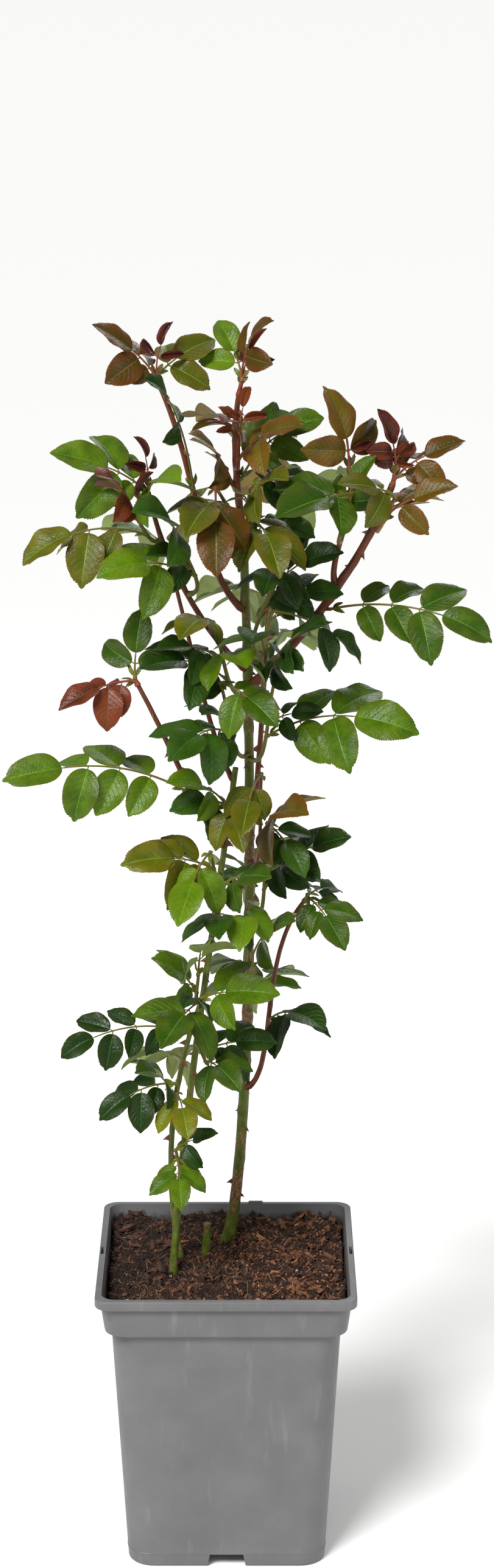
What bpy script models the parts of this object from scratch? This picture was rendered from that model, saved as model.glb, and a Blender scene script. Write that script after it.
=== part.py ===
"""Potted climbing rose: a square nursery pot filled with compost, four canes rising from it,
their boughs, and the leafy sprays that stand on them.

Metres, +Z up. The origin is the middle of the pot's flat underside. Azimuths are in degrees,
0 to the right (+X) and 90 to the back (+Y); a rise is in degrees above the level.
"""
import math
import bpy
import bmesh
import numpy as np
from mathutils import Vector
from mathutils.bvhtree import BVHTree

CLEAR = 0.0003            # gap that touching pieces keep

# Pot: square, rounded corners, thin moulded wall
POT_HEIGHT = 0.2334
RIM_HALF = 0.1000         # half the outer width at the lip
COLLAR_HALF = 0.0960      # under the lip
COLLAR_FOOT_HALF = 0.0930
SHOULDER_HALF = 0.0882    # body just under the collar
FOOT_HALF = 0.0770
LIP_HEIGHT = 0.0075
COLLAR_HEIGHT = 0.0240
STEP_HEIGHT = 0.0025
WALL = 0.0018
LIP_WALL = 0.0050
FLOOR = 0.0022
RIM_CORNER = 0.0110
BODY_CORNER = 0.0200
CORNER_POINTS = 5
NOTCH_WIDTH = 0.0340      # arch in the middle of each side of the foot
NOTCH_TOP = 0.0260
NOTCH_HEIGHT = 0.0100
NOTCH_DEPTH = 0.0300
DRAIN_RADIUS = 0.0050
SLOT_LENGTH = 0.0150      # hand slot in the left and the right lip
SLOT_WIDTH = 0.0024
TAB_MIDDLE = 0.0230       # low tab on the back lip
TAB_WIDTH = 0.0130
TAB_HEIGHT = 0.0014

# Compost
SOIL_TOP = 0.2195
SOIL_DIP = 0.0040         # how far it falls towards the corners

# Canes: foot (x, y), lean at the foot (azimuth, rise, how far it holds as a share of the span),
# tip (x, y, z), tip's heading, radii
STEMS = {
    "stem_right": ((0.000, 0.050), (15, 73.5, 0.12), (0.0135, 0.020, 0.790), (196, 87.5), 0.0046, 0.0032),
    "stem_middle": ((-0.042, -0.011), (15, 86, 0.36), (0.0075, 0.005, 0.625), (18, 82), 0.0029, 0.0021),
    "stem_left": ((-0.036, 0.010), (180, 80, 0.36), (-0.017, 0.010, 0.444), (0, 70), 0.0025, 0.0018),
    "stem_stub": ((-0.0165, 0.026), (90, 86, 0.36), (-0.0155, 0.027, 0.245), (90, 86), 0.0032, 0.0028),
}

# Boughs: carrier, place along it, tip (x, y, z), tip's heading (azimuth, rise), radii
BOUGHS = {
    "bough_top": ("stem_right", 1.0, (0.010, 0.010, 0.908), (0, 80), 0.0031, 0.0019),
    "bough_top_left": ("stem_right", 0.93, (-0.048, 0.000, 0.916), (180, 66), 0.0027, 0.0019),
    "bough_left": ("stem_right", 0.86, (-0.055, -0.030, 0.838), (190, 78), 0.0025, 0.0017),
    "bough_right": ("stem_right", 0.84, (0.122, -0.030, 0.848), (0, 70), 0.0039, 0.0025),
    "bough_right_side": ("bough_right", 0.60, (0.090, -0.036, 0.860), (185, 78), 0.0023, 0.0016),
    "bough_left_low": ("stem_middle", 0.86, (-0.065, -0.030, 0.698), (180, 62), 0.0025, 0.0017),
    "bough_right_low": ("stem_right", 0.34, (0.060, 0.000, 0.521), (-30, 50), 0.0022, 0.0016),
    "bough_back": ("stem_right", 0.66, (0.035, 0.105, 0.790), (85, 62), 0.0024, 0.0015),
    "bough_back_left": ("stem_middle", 0.98, (-0.045, 0.075, 0.775), (125, 62), 0.0020, 0.0014),
}
SLANT = 0.9               # how far a bough leans along its carrier as it leaves, to the square way
REACH = 0.36              # how far a limb's way at its tip reaches in, as a share of its span
BOUGH_REACH = 0.216       # the same for a bough's way at its foot
RING_GAP = 0.028          # about how far apart the rings of a limb are
RING_CROWDING = 1.25      # over 1 where they stand closer together at its foot
STOUT_RADIUS = 0.004      # limbs above this radius have eight sides, the others six
THORN_LENGTH = 0.0055
THORN_HALF = 0.0018
THORN_SPACING = 0.060
THORN_LEAST_RADIUS = 0.0023    # thinner limbs bear no thorns, nor do shorter ones than
THORN_LEAST_LENGTH = 0.1

# Sprays: carrier, place along it, shoot (azimuth, rise, length) or None,
# leaves (azimuth, rise, reach, leaflets, last leaflet's length, hang, tint). Azimuth, rise and
# reach run from a leaf's foot to its last tip; hang is 0 where its leaflets lie flat towards the
# light and 1 where they hang.
SPRAYS = {
    "top_left_end": ("bough_top_left", 1.0, (180, 76, 0.007),
        ((-157, 36, 0.064, 5, 0.038, 0.6, "bronze"),
         (26, 22, 0.049, 3, 0.038, 0.2, "olive"))),
    "top_left_side": ("bough_top_left", 0.6, None,
        ((-114, 61, 0.116, 3, 0.030, 0.4, "dark"),)),
    "crown_end": ("bough_top", 1.0, (-38, 73, 0.011),
        ((-66, 51, 0.068, 3, 0.032, 0.3, "bronze"),
         (131, 56, 0.052, 3, 0.034, 0.3, "green"))),
    "crown_right": ("bough_top", 0.5, None,
        ((-13, 37, 0.079, 5, 0.038, 0.1, "green"),)),
    "crown_front": ("bough_top", 0.58, (-86, 50, 0.033),
        ((-49, 26, 0.073, 5, 0.036, 0.3, "bronze"),
         (-102, 27, 0.046, 3, 0.026, 0.3, "red"))),
    "crown_left": ("bough_top", 0.44, None,
        ((-136, 45, 0.069, 5, 0.032, 0.4, "bronze"),)),
    "right_side_end": ("bough_right_side", 1.0, None,
        ((-143, 68, 0.063, 3, 0.045, 0.3, "bronze"),)),
    "right_side_low": ("bough_right_side", 0.45, (-71, 59, 0.046),
        ((2, 63, 0.059, 3, 0.032, 0.3, "green"),
         (-132, -10, 0.055, 3, 0.058, 0.2, "green"))),
    "right_end": ("bough_right", 1.0, (0, 80, 0.006),
        ((0, 22, 0.058, 5, 0.033, 0.5, "bronze"),
         (-144, 69, 0.046, 5, 0.029, 0.4, "red"))),
    "right_outer": ("bough_right", 0.84, (-44, 52, 0.034),
        ((-10, 20, 0.060, 3, 0.038, 0.6, "bronze"),
         (-138, 10, 0.038, 3, 0.038, 0.3, "olive"))),
    "left_end": ("bough_left", 1.0, (179, 79, 0.006),
        ((-162, 20, 0.069, 5, 0.048, 0.4, "green"),
         (-69, 9, 0.043, 3, 0.042, 0.6, "green"))),
    "left_outer": ("bough_left", 0.82, (-144, 42, 0.029),
        ((-164, -11, 0.095, 5, 0.046, 0.9, "olive"),
         (-116, 35, 0.068, 5, 0.033, 0.6, "red"))),
    "left_front": ("bough_left", 0.55, (-100, 59, 0.051),
        ((-136, 9, 0.091, 5, 0.047, 0.3, "green"),
         (-130, 27, 0.059, 3, 0.046, 0.3, "dark"))),
    "centre_top_left": ("bough_top", 0.32, (-116, 31, 0.045),
        ((-115, -5, 0.086, 5, 0.045, 0.5, "olive"),
         (-89, -42, 0.082, 3, 0.044, 1.0, "bronze"))),
    "centre_top_front": ("bough_top", 0.22, (-81, 44, 0.05),
        ((-88, -7, 0.093, 5, 0.044, 0.9, "olive"),
         (-68, 20, 0.071, 3, 0.040, 0.3, "olive"),
         (28, 9, 0.042, 5, 0.034, 0.4, "dark"))),
    "right_centre_high": ("bough_right", 0.15, (-78, 62, 0.095),
        ((-37, 40, 0.096, 5, 0.038, 0.4, "dark"),
         (-103, -13, 0.042, 3, 0.036, 0.7, "dark"))),
    "right_centre_low": ("stem_right", 0.81, (-76, 56, 0.112),
        ((-62, 39, 0.121, 5, 0.038, 0.3, "dark"),
         (-97, 23, 0.085, 3, 0.042, 0.5, "dark"),
         (14, -26, 0.085, 5, 0.040, 0.7, "dark"))),
    "far_right": ("bough_right", 0.5, None,
        ((-22, -5, 0.131, 7, 0.046, 0.0, "green"),)),
    "far_right_low": ("stem_right", 0.755, (-68, 57, 0.085),
        ((-28, 7, 0.125, 5, 0.052, 0.0, "green"),
         (13, -50, 0.066, 5, 0.040, 0.5, "dark"))),
    "mid_left_high": ("stem_right", 0.83, (-121, 54, 0.081),
        ((-135, 16, 0.092, 5, 0.044, 0.4, "dark"),
         (-77, 2, 0.074, 3, 0.042, 0.5, "green"),
         (-109, -3, 0.064, 3, 0.040, 0.5, "olive"))),
    "mid_left_low": ("stem_right", 0.76, (-111, 51, 0.09),
        ((-117, 0, 0.093, 5, 0.046, 0.3, "dark"),
         (-50, -21, 0.057, 5, 0.038, 0.4, "green"))),
    "left_low_end": ("bough_left_low", 1.0, (180, 69, 0.005),
        ((-153, -19, 0.046, 5, 0.036, 0.9, "red"),
         (59, 69, 0.032, 3, 0.036, 0.3, "green"))),
    "left_hanging": ("bough_left_low", 0.42, None,
        ((-165, 6, 0.141, 7, 0.050, 0.7, "green"),)),
    "centre": ("stem_right", 0.635, (-74, 70, 0.084),
        ((-48, 28, 0.087, 5, 0.044, 0.2, "bronze"),
         (-87, -21, 0.087, 3, 0.040, 0.9, "olive"))),
    "centre_low": ("stem_right", 0.57, (-68, 69, 0.091),
        ((-31, 33, 0.090, 5, 0.038, 0.2, "dark"),
         (-60, -36, 0.059, 5, 0.034, 0.4, "dark"))),
    "centre_left": ("stem_middle", 0.93, (-98, 22, 0.023),
        ((-133, 27, 0.062, 3, 0.036, 0.7, "green"),
         (-77, -24, 0.057, 3, 0.036, 0.4, "olive"))),
    "low_mid_left": ("stem_middle", 0.8, (-103, 43, 0.04),
        ((-146, 10, 0.080, 5, 0.046, 0.3, "olive"),
         (-109, -34, 0.077, 3, 0.044, 0.9, "green"))),
    "low_mid_front": ("stem_middle", 0.7, (-71, 57, 0.052),
        ((-89, 9, 0.071, 5, 0.038, 0.4, "dark"),
         (-51, 14, 0.053, 3, 0.036, 0.4, "green"))),
    "low_mid_right": ("stem_right", 0.47, (-87, 68, 0.095),
        ((-66, 38, 0.096, 3, 0.038, 0.2, "green"),
         (-95, -21, 0.086, 5, 0.040, 0.6, "green"))),
    "right_low_end": ("bough_right_low", 1.0, (-79, 37, 0.013),
        ((-63, -27, 0.045, 5, 0.036, 0.3, "green"),
         (49, -13, 0.041, 3, 0.032, 0.5, "dark"))),
    "right_low_side": ("bough_right_low", 0.45, None,
        ((-57, 22, 0.065, 5, 0.043, 0.9, "dark"),)),
    "low_front": ("stem_middle", 0.55, (-91, 23, 0.026),
        ((-110, -9, 0.078, 5, 0.044, 0.2, "green"),
         (-31, 6, 0.060, 3, 0.048, 0.0, "green"))),
    "low_left_high": ("stem_left", 0.97, (-93, 57, 0.033),
        ((-126, 35, 0.057, 3, 0.040, 0.3, "green"),
         (-84, 36, 0.063, 3, 0.036, 0.5, "green"))),
    "low_left_outer": ("stem_left", 0.85, None,
        ((-153, -1, 0.108, 7, 0.034, 0.2, "dark"),)),
    "low_right": ("stem_middle", 0.46, (-76, -9, 0.028),
        ((-10, 7, 0.052, 5, 0.036, 0.3, "dark"),
         (-64, -9, 0.052, 3, 0.038, 0.2, "green"))),
    "low_left": ("stem_left", 0.6, (-85, 50, 0.028),
        ((-112, 34, 0.078, 3, 0.036, 0.4, "green"),
         (-94, -5, 0.066, 3, 0.034, 0.9, "olive"),
         (-152, -18, 0.068, 5, 0.032, 0.5, "dark"))),
    "base_front": ("stem_middle", 0.22, (-113, 53, 0.016),
        ((-86, -21, 0.058, 5, 0.032, 0.2, "green"),
         (-31, 23, 0.042, 3, 0.026, 0.4, "dark"))),
    "back_end": ("bough_back", 1.0, (33, 53, 0.015),
        ((45, 16, 0.062, 5, 0.046, 0.4, "green"),
         (161, 50, 0.048, 5, 0.042, 0.4, "bronze"))),
    "back_side": ("bough_back", 0.6, (84, 63, 0.056),
        ((65, -13, 0.089, 5, 0.048, 0.5, "green"),
         (129, -8, 0.078, 5, 0.048, 0.5, "green"))),
    "back_left_end": ("bough_back_left", 1.0, (73, -1, 0.016),
        ((128, -7, 0.062, 5, 0.046, 0.4, "green"),
         (68, 26, 0.060, 5, 0.044, 0.4, "olive"))),
    "back_top": ("bough_top", 0.72, (91, 17, 0.032),
        ((113, 5, 0.066, 5, 0.036, 0.3, "bronze"),
         (55, -13, 0.045, 5, 0.038, 0.3, "green"))),
    "back_right": ("bough_right", 0.8, (68, 21, 0.038),
        ((62, 12, 0.077, 5, 0.042, 0.3, "bronze"),
         (104, 9, 0.053, 5, 0.040, 0.4, "green"))),
    "back_mid": ("stem_right", 0.54, (83, 56, 0.072),
        ((115, 8, 0.074, 5, 0.044, 0.4, "green"),
         (54, -17, 0.066, 5, 0.042, 0.5, "dark"))),
    "back_low": ("stem_right", 0.43, (81, 37, 0.05),
        ((69, -3, 0.080, 5, 0.042, 0.5, "green"),
         (120, -20, 0.057, 5, 0.042, 0.4, "dark"))),
    "back_base": ("stem_left", 0.72, (89, 4, 0.033),
        ((116, -20, 0.073, 5, 0.040, 0.4, "green"),
         (71, -29, 0.055, 5, 0.040, 0.4, "olive"))),
}

# Leaves
LEAST_STALK = {3: 0.45, 5: 0.75, 7: 1.2}           # stalk over last leaflet, where reach is short
PAIR_PLACES = {3: (0.66,), 5: (0.42, 0.80), 7: (0.32, 0.57, 0.82)}
PAIR_SIZES = {3: (0.84,), 5: (0.76, 0.92), 7: (0.70, 0.84, 0.92)}
BLADE_WIDTH = 0.66        # width over length
FOLD = (8, 24)            # degrees that each half of a blade is folded up from flat
ARCH = (15, 50)           # degrees that a blade bends down along its length
TWIST = (-18, 18)
BEND = (35, 60)           # degrees that a leaf's stalk arcs down
SPREAD = (50, 66)         # degrees between a side leaflet and the stalk
DROOP = (-4, 16)
BLADE_HALF_THICK = 0.0005
NECK_LENGTH = 0.0026      # stretch of the stalk that a side leaflet grows from
STALK_RADIUS = 0.0013
STALK_TIP_RADIUS = 0.0010
SHOOT_RADIUS = 0.0019
PETIOLULE = 0.0025
TEST_SWELL = 0.0005       # extra size of a blade while its clearance is tested
LIGHT_RISE = 22           # leaves turn their faces outwards, to light from this rise
BACK_FROM = 0.05          # leaves whose tips reach past this y face the back, the others the front
SEED = 11

# Ways a leaf may be turned, in degrees of azimuth and rise, until it clears its neighbours
TURNS = ((0, 0), (7, 0), (-7, 0), (0, 7), (0, -7), (13, 4), (-13, 4), (13, -7), (-13, -7),
         (20, 0), (-20, 0), (0, 14), (0, -14), (28, 6), (-28, 6))

SMALLER = (1.0, 0.88, 0.88, 0.88)   # steps in which a side leaflet gives way before it is left out

TINTS = {
    "green": (0.085, 0.215, 0.020),
    "dark": (0.030, 0.105, 0.025),
    "olive": (0.150, 0.170, 0.020),
    "bronze": (0.190, 0.085, 0.025),
    "red": (0.075, 0.014, 0.016),
}
CANE_GREEN = (0.130, 0.190, 0.045)
CANE_RED = (0.160, 0.060, 0.040)
POT_GREY = (0.210, 0.215, 0.225)
SOIL_BROWN = (0.045, 0.022, 0.010)


# ---------------------------------------------------------------- plain helpers

def heading(azimuth, rise):
    """Unit vector at an azimuth and a rise."""
    a = math.radians(azimuth)
    r = math.radians(rise)
    return np.array([math.cos(a) * math.cos(r), math.sin(a) * math.cos(r), math.sin(r)])


def unit(v):
    """The vector, or each row of an array, at length one."""
    return v / np.linalg.norm(v, axis=-1, keepdims=True)


def material(name, colour, roughness, metallic=0.0):
    """Principled material in one colour."""
    made = bpy.data.materials.new(name)
    made.use_nodes = True
    shader = made.node_tree.nodes["Principled BSDF"]
    shader.inputs["Base Color"].default_value = (*colour, 1.0)
    shader.inputs["Roughness"].default_value = roughness
    shader.inputs["Metallic"].default_value = metallic
    made.diffuse_color = (*colour, 1.0)
    return made


def make_object(name, points, faces, finish=None, collection=None):
    """Object from points and faces, linked to the scene or to a collection."""
    mesh = bpy.data.meshes.new(name)
    mesh.from_pydata([tuple(p) for p in np.asarray(points, float).tolist()], [], faces)
    mesh.update()
    made = bpy.data.objects.new(name, mesh)
    if finish:
        mesh.materials.append(finish)
    (collection or bpy.context.scene.collection).objects.link(made)
    return made


def apply_boolean(target, operation, other=None, group=None):
    """Boolean with one object or a collection, applied; what was used up is removed."""
    step = target.modifiers.new(operation.title(), "BOOLEAN")
    step.operation = operation
    step.solver = "EXACT"
    if group:
        step.operand_type = "COLLECTION"
        step.collection = group
    else:
        step.object = other
    seen = bpy.context.evaluated_depsgraph_get()
    done = bpy.data.meshes.new_from_object(target.evaluated_get(seen))
    target.modifiers.clear()
    target.data = done
    for used in ([other] if other else list(group.objects)):
        bpy.data.objects.remove(used, do_unlink=True)


def keep_main_body(mesh):
    """Drop loose scraps and sealed hollows: only the body with the most faces stays."""
    work = bmesh.new()
    work.from_mesh(mesh)
    left = set(work.faces)
    bodies = []
    while left:
        body = {left.pop()}
        edge = list(body)
        while edge:
            face = edge.pop()
            for near in (f for e in face.edges for f in e.link_faces):
                if near in left:
                    left.remove(near)
                    body.add(near)
                    edge.append(near)
        bodies.append(body)
    main = max(bodies, key=len)
    spare = [f for f in work.faces if f not in main]
    bmesh.ops.delete(work, geom=spare, context="FACES")
    work.to_mesh(mesh)
    work.free()


# ---------------------------------------------------------------- tubes and limbs

def ring_frames(ways):
    """Two directions square to each of the ways along a path, carried along without twist."""
    first = np.cross(ways[0], (0.0, 1.0, 0.0) if abs(ways[0][1]) < 0.9 else (1.0, 0.0, 0.0))
    sides = [unit(first)]
    for way in ways[1:]:
        side = sides[-1] - way * np.dot(sides[-1], way)
        sides.append(unit(side))
    sides = np.array(sides)
    return sides, np.cross(ways, sides)


def tube(path, ways, radii, count):
    """Closed tube of `count` sides through the points of a path, each ring square to its way."""
    across, over = ring_frames(ways)
    turn = np.arange(count) * 2 * math.pi / count
    rim = (across[:, None, :] * np.cos(turn)[None, :, None]
           + over[:, None, :] * np.sin(turn)[None, :, None])
    points = (path[:, None, :] + rim * np.asarray(radii)[:, None, None]).reshape(-1, 3)
    faces = []
    for ring in range(len(path) - 1):
        a = ring * count
        for i in range(count):
            j = (i + 1) % count
            faces.append((a + i, a + j, a + count + j, a + count + i))
    faces.append(tuple(reversed(range(count))))
    faces.append(tuple(range(len(points) - count, len(points))))
    return points, faces


class Limb:
    """A cane or a bough: a cubic curve from its start to its tip, tapering evenly."""

    def __init__(self, start, first_way, reach_in, tip, last_way, radius, tip_radius, seat_way=None):
        start = np.asarray(start, float)
        tip = np.asarray(tip, float)
        span = np.linalg.norm(tip - start)
        self.knots = (start, start + first_way * reach_in * span, tip - last_way * REACH * span, tip)
        self.seat_way = first_way if seat_way is None else seat_way
        self.radii = (radius, tip_radius)
        self.length = span

    def point(self, place):
        """Point at a place from 0 to 1, by the cubic's own rule."""
        t = np.asarray(place, float)[..., None]
        a, b, c, d = self.knots
        return a * (1 - t) ** 3 + b * 3 * t * (1 - t) ** 2 + c * 3 * t * t * (1 - t) + d * t ** 3

    def way(self, place):
        """Unit vector along the limb at a place."""
        near = np.clip(place, 0.002, 0.998)
        return unit(self.point(near + 0.002) - self.point(near - 0.002))

    def radius(self, place):
        """Radius at a place."""
        return self.radii[0] + (self.radii[1] - self.radii[0]) * np.asarray(place, float)


def leave(carrier, place, towards):
    """Where something rooted on a limb starts, and the way it leaves: on from a tip, else squarely."""
    way = carrier.way(place)
    base = carrier.point(place)
    if place >= 1.0:
        return base + way * CLEAR, way
    aim = towards - way * np.dot(towards, way)
    out = unit(aim)
    return base + out * (carrier.radius(place) + CLEAR), out


def grow_limbs():
    """Every cane and bough by name."""
    limbs = {}
    for name, (foot, lean, tip, last, radius, thin) in STEMS.items():
        start = (foot[0], foot[1], SOIL_TOP + CLEAR)
        up = np.array([0.0, 0.0, 1.0])
        limbs[name] = Limb(start, heading(*lean[:2]), lean[2], tip, heading(*last), radius, thin, up)
    for name, (carrier, place, tip, last, radius, thin) in BOUGHS.items():
        towards = np.array(tip) - limbs[carrier].point(place)
        start, out = leave(limbs[carrier], place, towards)
        first = out if place >= 1.0 else unit(out + SLANT * limbs[carrier].way(place))
        limbs[name] = Limb(start, first, BOUGH_REACH, tip, heading(*last), radius, thin, out)
    return limbs


def limb_mesh(limb, sides):
    """The limb as a tube: rings closer together at its foot, where it turns off its carrier."""
    count = max(5, int(limb.length / RING_GAP) + 2)
    places = np.linspace(0.0, 1.0, count) ** RING_CROWDING
    ways = limb.way(places)
    ways[0] = limb.seat_way
    return tube(limb.point(places), ways, limb.radius(places), sides)


# ---------------------------------------------------------------- leaves

def blade_outline(t):
    """Half width of a leaflet over its greatest half width: round at the foot, pointed at the tip."""
    return 2.57 * t ** 0.57 * (1 - t) ** 0.83


class Leaflet:
    """One blade: root on the stalk, own axes, length, and how it folds, arches and twists."""

    def __init__(self, root, way, up, length, rng):
        self.root = root
        self.way = way
        self.up = unit(up - way * np.dot(up, way))
        self.length = length
        self.fold = math.radians(rng.uniform(*FOLD))
        self.arch = math.radians(rng.uniform(*ARCH))
        self.twist = math.radians(rng.uniform(*TWIST))
        self.width = length * BLADE_WIDTH * rng.uniform(0.92, 1.06)

    def scale(self, size):
        """Make the blade smaller in its place."""
        self.length *= size
        self.width *= size

    def axes(self, t):
        """Midrib point, side and up vectors at places t: an arc that bends down as it goes out."""
        t = np.asarray(t, float)[..., None]
        a = self.arch
        mid = self.root + self.way * PETIOLULE + self.length * (
            self.way * np.sin(a * t) / a - self.up * (1 - np.cos(a * t)) / a)
        way = self.way * np.cos(a * t) - self.up * np.sin(a * t)
        up = self.way * np.sin(a * t) + self.up * np.cos(a * t)
        side = np.cross(way, up)
        turn = self.twist * t
        return (mid, side * np.cos(turn) + up * np.sin(turn),
                up * np.cos(turn) - side * np.sin(turn))

    def point(self, t, u):
        """Point of the blade's middle surface at t along it and u across it, from -1 to 1."""
        mid, side, up = self.axes(t)
        u = np.asarray(u, float)[..., None]
        half = (blade_outline(np.asarray(t, float)) * self.width / 2)[..., None]
        return mid + half * (u * math.cos(self.fold) * side + np.abs(u) * math.sin(self.fold) * up)


BLADE_STATIONS = np.array((0.26, 0.71))


def station_points(leaflet, swell=0.0):
    """Four points round the blade at each station (left rim, top, right rim, under), and its tip."""
    count = len(BLADE_STATIONS)
    mid, side, up = leaflet.axes(BLADE_STATIONS)
    left = leaflet.point(BLADE_STATIONS, -np.ones(count)) - side * swell
    right = leaflet.point(BLADE_STATIONS, np.ones(count)) + side * swell
    thick = (BLADE_HALF_THICK + swell) * up
    rings = np.stack([left, mid + thick, right, mid - thick], axis=1)
    return rings.reshape(-1, 3), leaflet.axes(1.0)[0] + leaflet.way * swell


def blade_faces(first, tip):
    """Faces between stations of four points that start at index `first`, closed at the tip."""
    faces = []
    for a in range(first, tip - 4, 4):
        for i in (0, 2):                               # diagonals run alike on both faces
            j, k = i + 1, (i + 2) % 4
            faces += [(a + i, a + j, a + 4 + i), (a + j, a + 4 + j, a + 4 + i),
                      (a + j, a + k, a + 4 + k), (a + j, a + 4 + k, a + 4 + j)]
    return faces + [(tip - 4 + i, tip - 4 + (i + 1) % 4, tip) for i in range(4)]


def test_blade(leaflet):
    """The blade a little swollen, closed near its foot, for tests of what it would touch."""
    rings, tip = station_points(leaflet, TEST_SWELL)
    foot = leaflet.axes(0.04)[0]
    points = np.vstack([foot, rings, tip])
    faces = [(0, 1 + (i + 1) % 4, 1 + i) for i in range(4)]
    return points, faces + blade_faces(1, len(points) - 1)


class Leaf:
    """A compound leaf: a stalk that arcs down, leaflets in pairs along it and one at its end."""

    def __init__(self, start, out, azimuth, rise, row, rng):
        reach, count, blade, hang, self.tint = row[2:]
        bend = math.radians(rng.uniform(*BEND) + 20 * hang)
        light = rng.uniform(1.7, 2.5) - 1.4 * hang
        self.start = start
        self.out = out
        self.azimuth = math.radians(azimuth)
        self.rise = math.radians(rise)
        self.bend = bend
        last = blade * rng.uniform(0.95, 1.05)
        self.whole = max(reach * (bend / 2) / math.sin(bend / 2), last * (1 + LEAST_STALK[count]))
        self.stalk = self.whole - last
        back = start[1] + reach * math.cos(self.rise) * math.sin(self.azimuth) > BACK_FROM
        self.lean = light * heading(90 if back else -90, LIGHT_RISE)
        self.pairs = PAIR_PLACES[count]
        self.sides = {}
        for pair, (place, size) in enumerate(zip(self.pairs, PAIR_SIZES[count])):
            root, way, up = self.axes(place)
            for hand in (1, -1):
                spread = math.radians(rng.uniform(*SPREAD))
                droop = math.radians(rng.uniform(*DROOP))
                side = np.cross(way, up) * hand
                go = way * math.cos(spread) + side * math.sin(spread)
                go = go * math.cos(droop) - up * math.sin(droop)
                go = unit(go - np.array([0, 0, hang * rng.uniform(0.4, 0.9)]))
                tilt = unit(up + side * rng.uniform(-0.25, 0.1))
                length = last * size * rng.uniform(0.93, 1.05)
                self.sides[pair, hand] = Leaflet(root, go, tilt, length, rng)
        root, way, up = self.axes(1.0)
        self.end = Leaflet(root, way, up, last - PETIOLULE, rng)

    def axes(self, place):
        """Stalk point, its way and its upper side at a place from 0 to 1."""
        s = place * self.stalk
        a = self.bend / self.whole
        top = self.rise + self.bend / 2
        now = top - a * s
        flat = np.array([math.cos(self.azimuth), math.sin(self.azimuth), 0.0])
        point = (self.start + flat * (math.sin(top) - math.sin(now)) / a
                 + np.array([0, 0, 1.0]) * (math.cos(now) - math.cos(top)) / a)
        way = flat * math.cos(now) + np.array([0, 0, math.sin(now)])
        level = np.array([math.sin(self.azimuth), -math.cos(self.azimuth), 0.0])
        up = np.cross(level, way)
        up = up + self.lean
        return point, way, unit(up - way * np.dot(up, way))

    def leaflets(self):
        """All its leaflets, the last one first."""
        return [self.end] + [self.sides[key] for key in sorted(self.sides)]

    def rings(self):
        """Places of the stalk's rings: its foot, one on the way, and two at each pair."""
        half = NECK_LENGTH / self.stalk / 2
        places = [0.0, self.pairs[0] * 0.5]
        for place in self.pairs:
            places += [place - half, place + half]
        return places + [1.0]

    def stalk_ring(self, place, seat_way=None):
        """Four corners round the stalk: upper left, upper right, lower right, lower left."""
        point, way, up = self.axes(place)
        if seat_way is not None:
            way = seat_way
            up = unit(up - way * np.dot(up, way))
        half = (STALK_RADIUS + (STALK_TIP_RADIUS - STALK_RADIUS) * place) * math.sqrt(0.5)
        side = np.cross(way, up)
        return [point + half * (x * side + y * up) for x, y in ((-1, 1), (1, 1), (1, -1), (-1, -1))]


def neck_faces(quad, ring):
    """Eight faces from a square to the four points of a station, turned an eighth round."""
    a, b, c, d = quad
    left, top, right, under = ring
    return [(a, b, top), (b, right, top), (b, c, right), (c, under, right),
            (c, d, under), (d, left, under), (d, a, left), (a, top, left)]


def leaf_mesh(leaf):
    """The whole leaf as one closed skin: a square stalk whose sides run out into the leaflets."""
    places = leaf.rings()
    points = leaf.stalk_ring(places[0], leaf.out)
    for place in places[1:]:
        points += leaf.stalk_ring(place)
    faces = [(3, 2, 1, 0)]
    for ring in range(len(places) - 1):
        a, b = 4 * ring, 4 * ring + 4
        pair, at_pair = divmod(ring - 2, 2)
        open_sides = {hand for hand in (1, -1) if ring >= 2 and at_pair == 0 and (pair, hand) in leaf.sides}
        for i in range(4):
            j = (i + 1) % 4
            hand = {1: 1, 3: -1}.get(i)
            if hand not in open_sides:
                faces += [(a + i, a + j, b + j), (a + i, b + j, b + i)]
        for hand in sorted(open_sides):
            rings, tip = station_points(leaf.sides[pair, hand])
            first = len(points)
            points += list(rings) + [tip]
            if hand == 1:                              # right side: its left rim is the far one
                quad = (b + 1, a + 1, a + 2, b + 2)
            else:
                quad = (a, b, b + 3, a + 3)
            faces += neck_faces(quad, range(first, first + 4)) + blade_faces(first, len(points) - 1)
    rings, tip = station_points(leaf.end)
    end = 4 * len(places) - 4
    first = len(points)
    points += list(rings) + [tip]
    faces += neck_faces(range(end, end + 4), range(first, first + 4))
    faces += blade_faces(first, len(points) - 1)
    return np.array(points), faces


# ---------------------------------------------------------------- sprays

class Neighbours:
    """All that stands already, as one search tree, to test new pieces against."""

    def __init__(self, pieces=()):
        self.points = []
        self.faces = []
        self.tree = None
        if pieces:
            self.add(pieces)

    def add(self, pieces):
        """Take in pieces of (points, faces) and build the tree again."""
        if not pieces:
            return
        for points, faces in pieces:
            shift = len(self.points)
            self.points += points.tolist()
            self.faces += [tuple(i + shift for i in face) for face in faces]
        self.tree = BVHTree.FromPolygons(self.points, self.faces)

    def touches(self, piece):
        """Whether a piece cuts anything that stands already."""
        points, faces = piece
        return bool(self.tree and self.tree.overlap(BVHTree.FromPolygons(points.tolist(), faces)))


def test_stalk(leaf, foot):
    """The stalk from the place `foot` on, for tests of what it would touch."""
    axes = [leaf.axes(place) for place in np.linspace(foot, 1.0, 6)]
    path = np.array([axis[0] for axis in axes])
    ways = np.array([axis[1] for axis in axes])
    if foot == 0.0:
        ways[0] = leaf.out
    return tube(path, ways, np.full(6, STALK_RADIUS), 4)


def cuts(piece, groups):
    """Whether a piece cuts any of the groups of neighbours."""
    return any(group.touches(piece) for group in groups)


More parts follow.
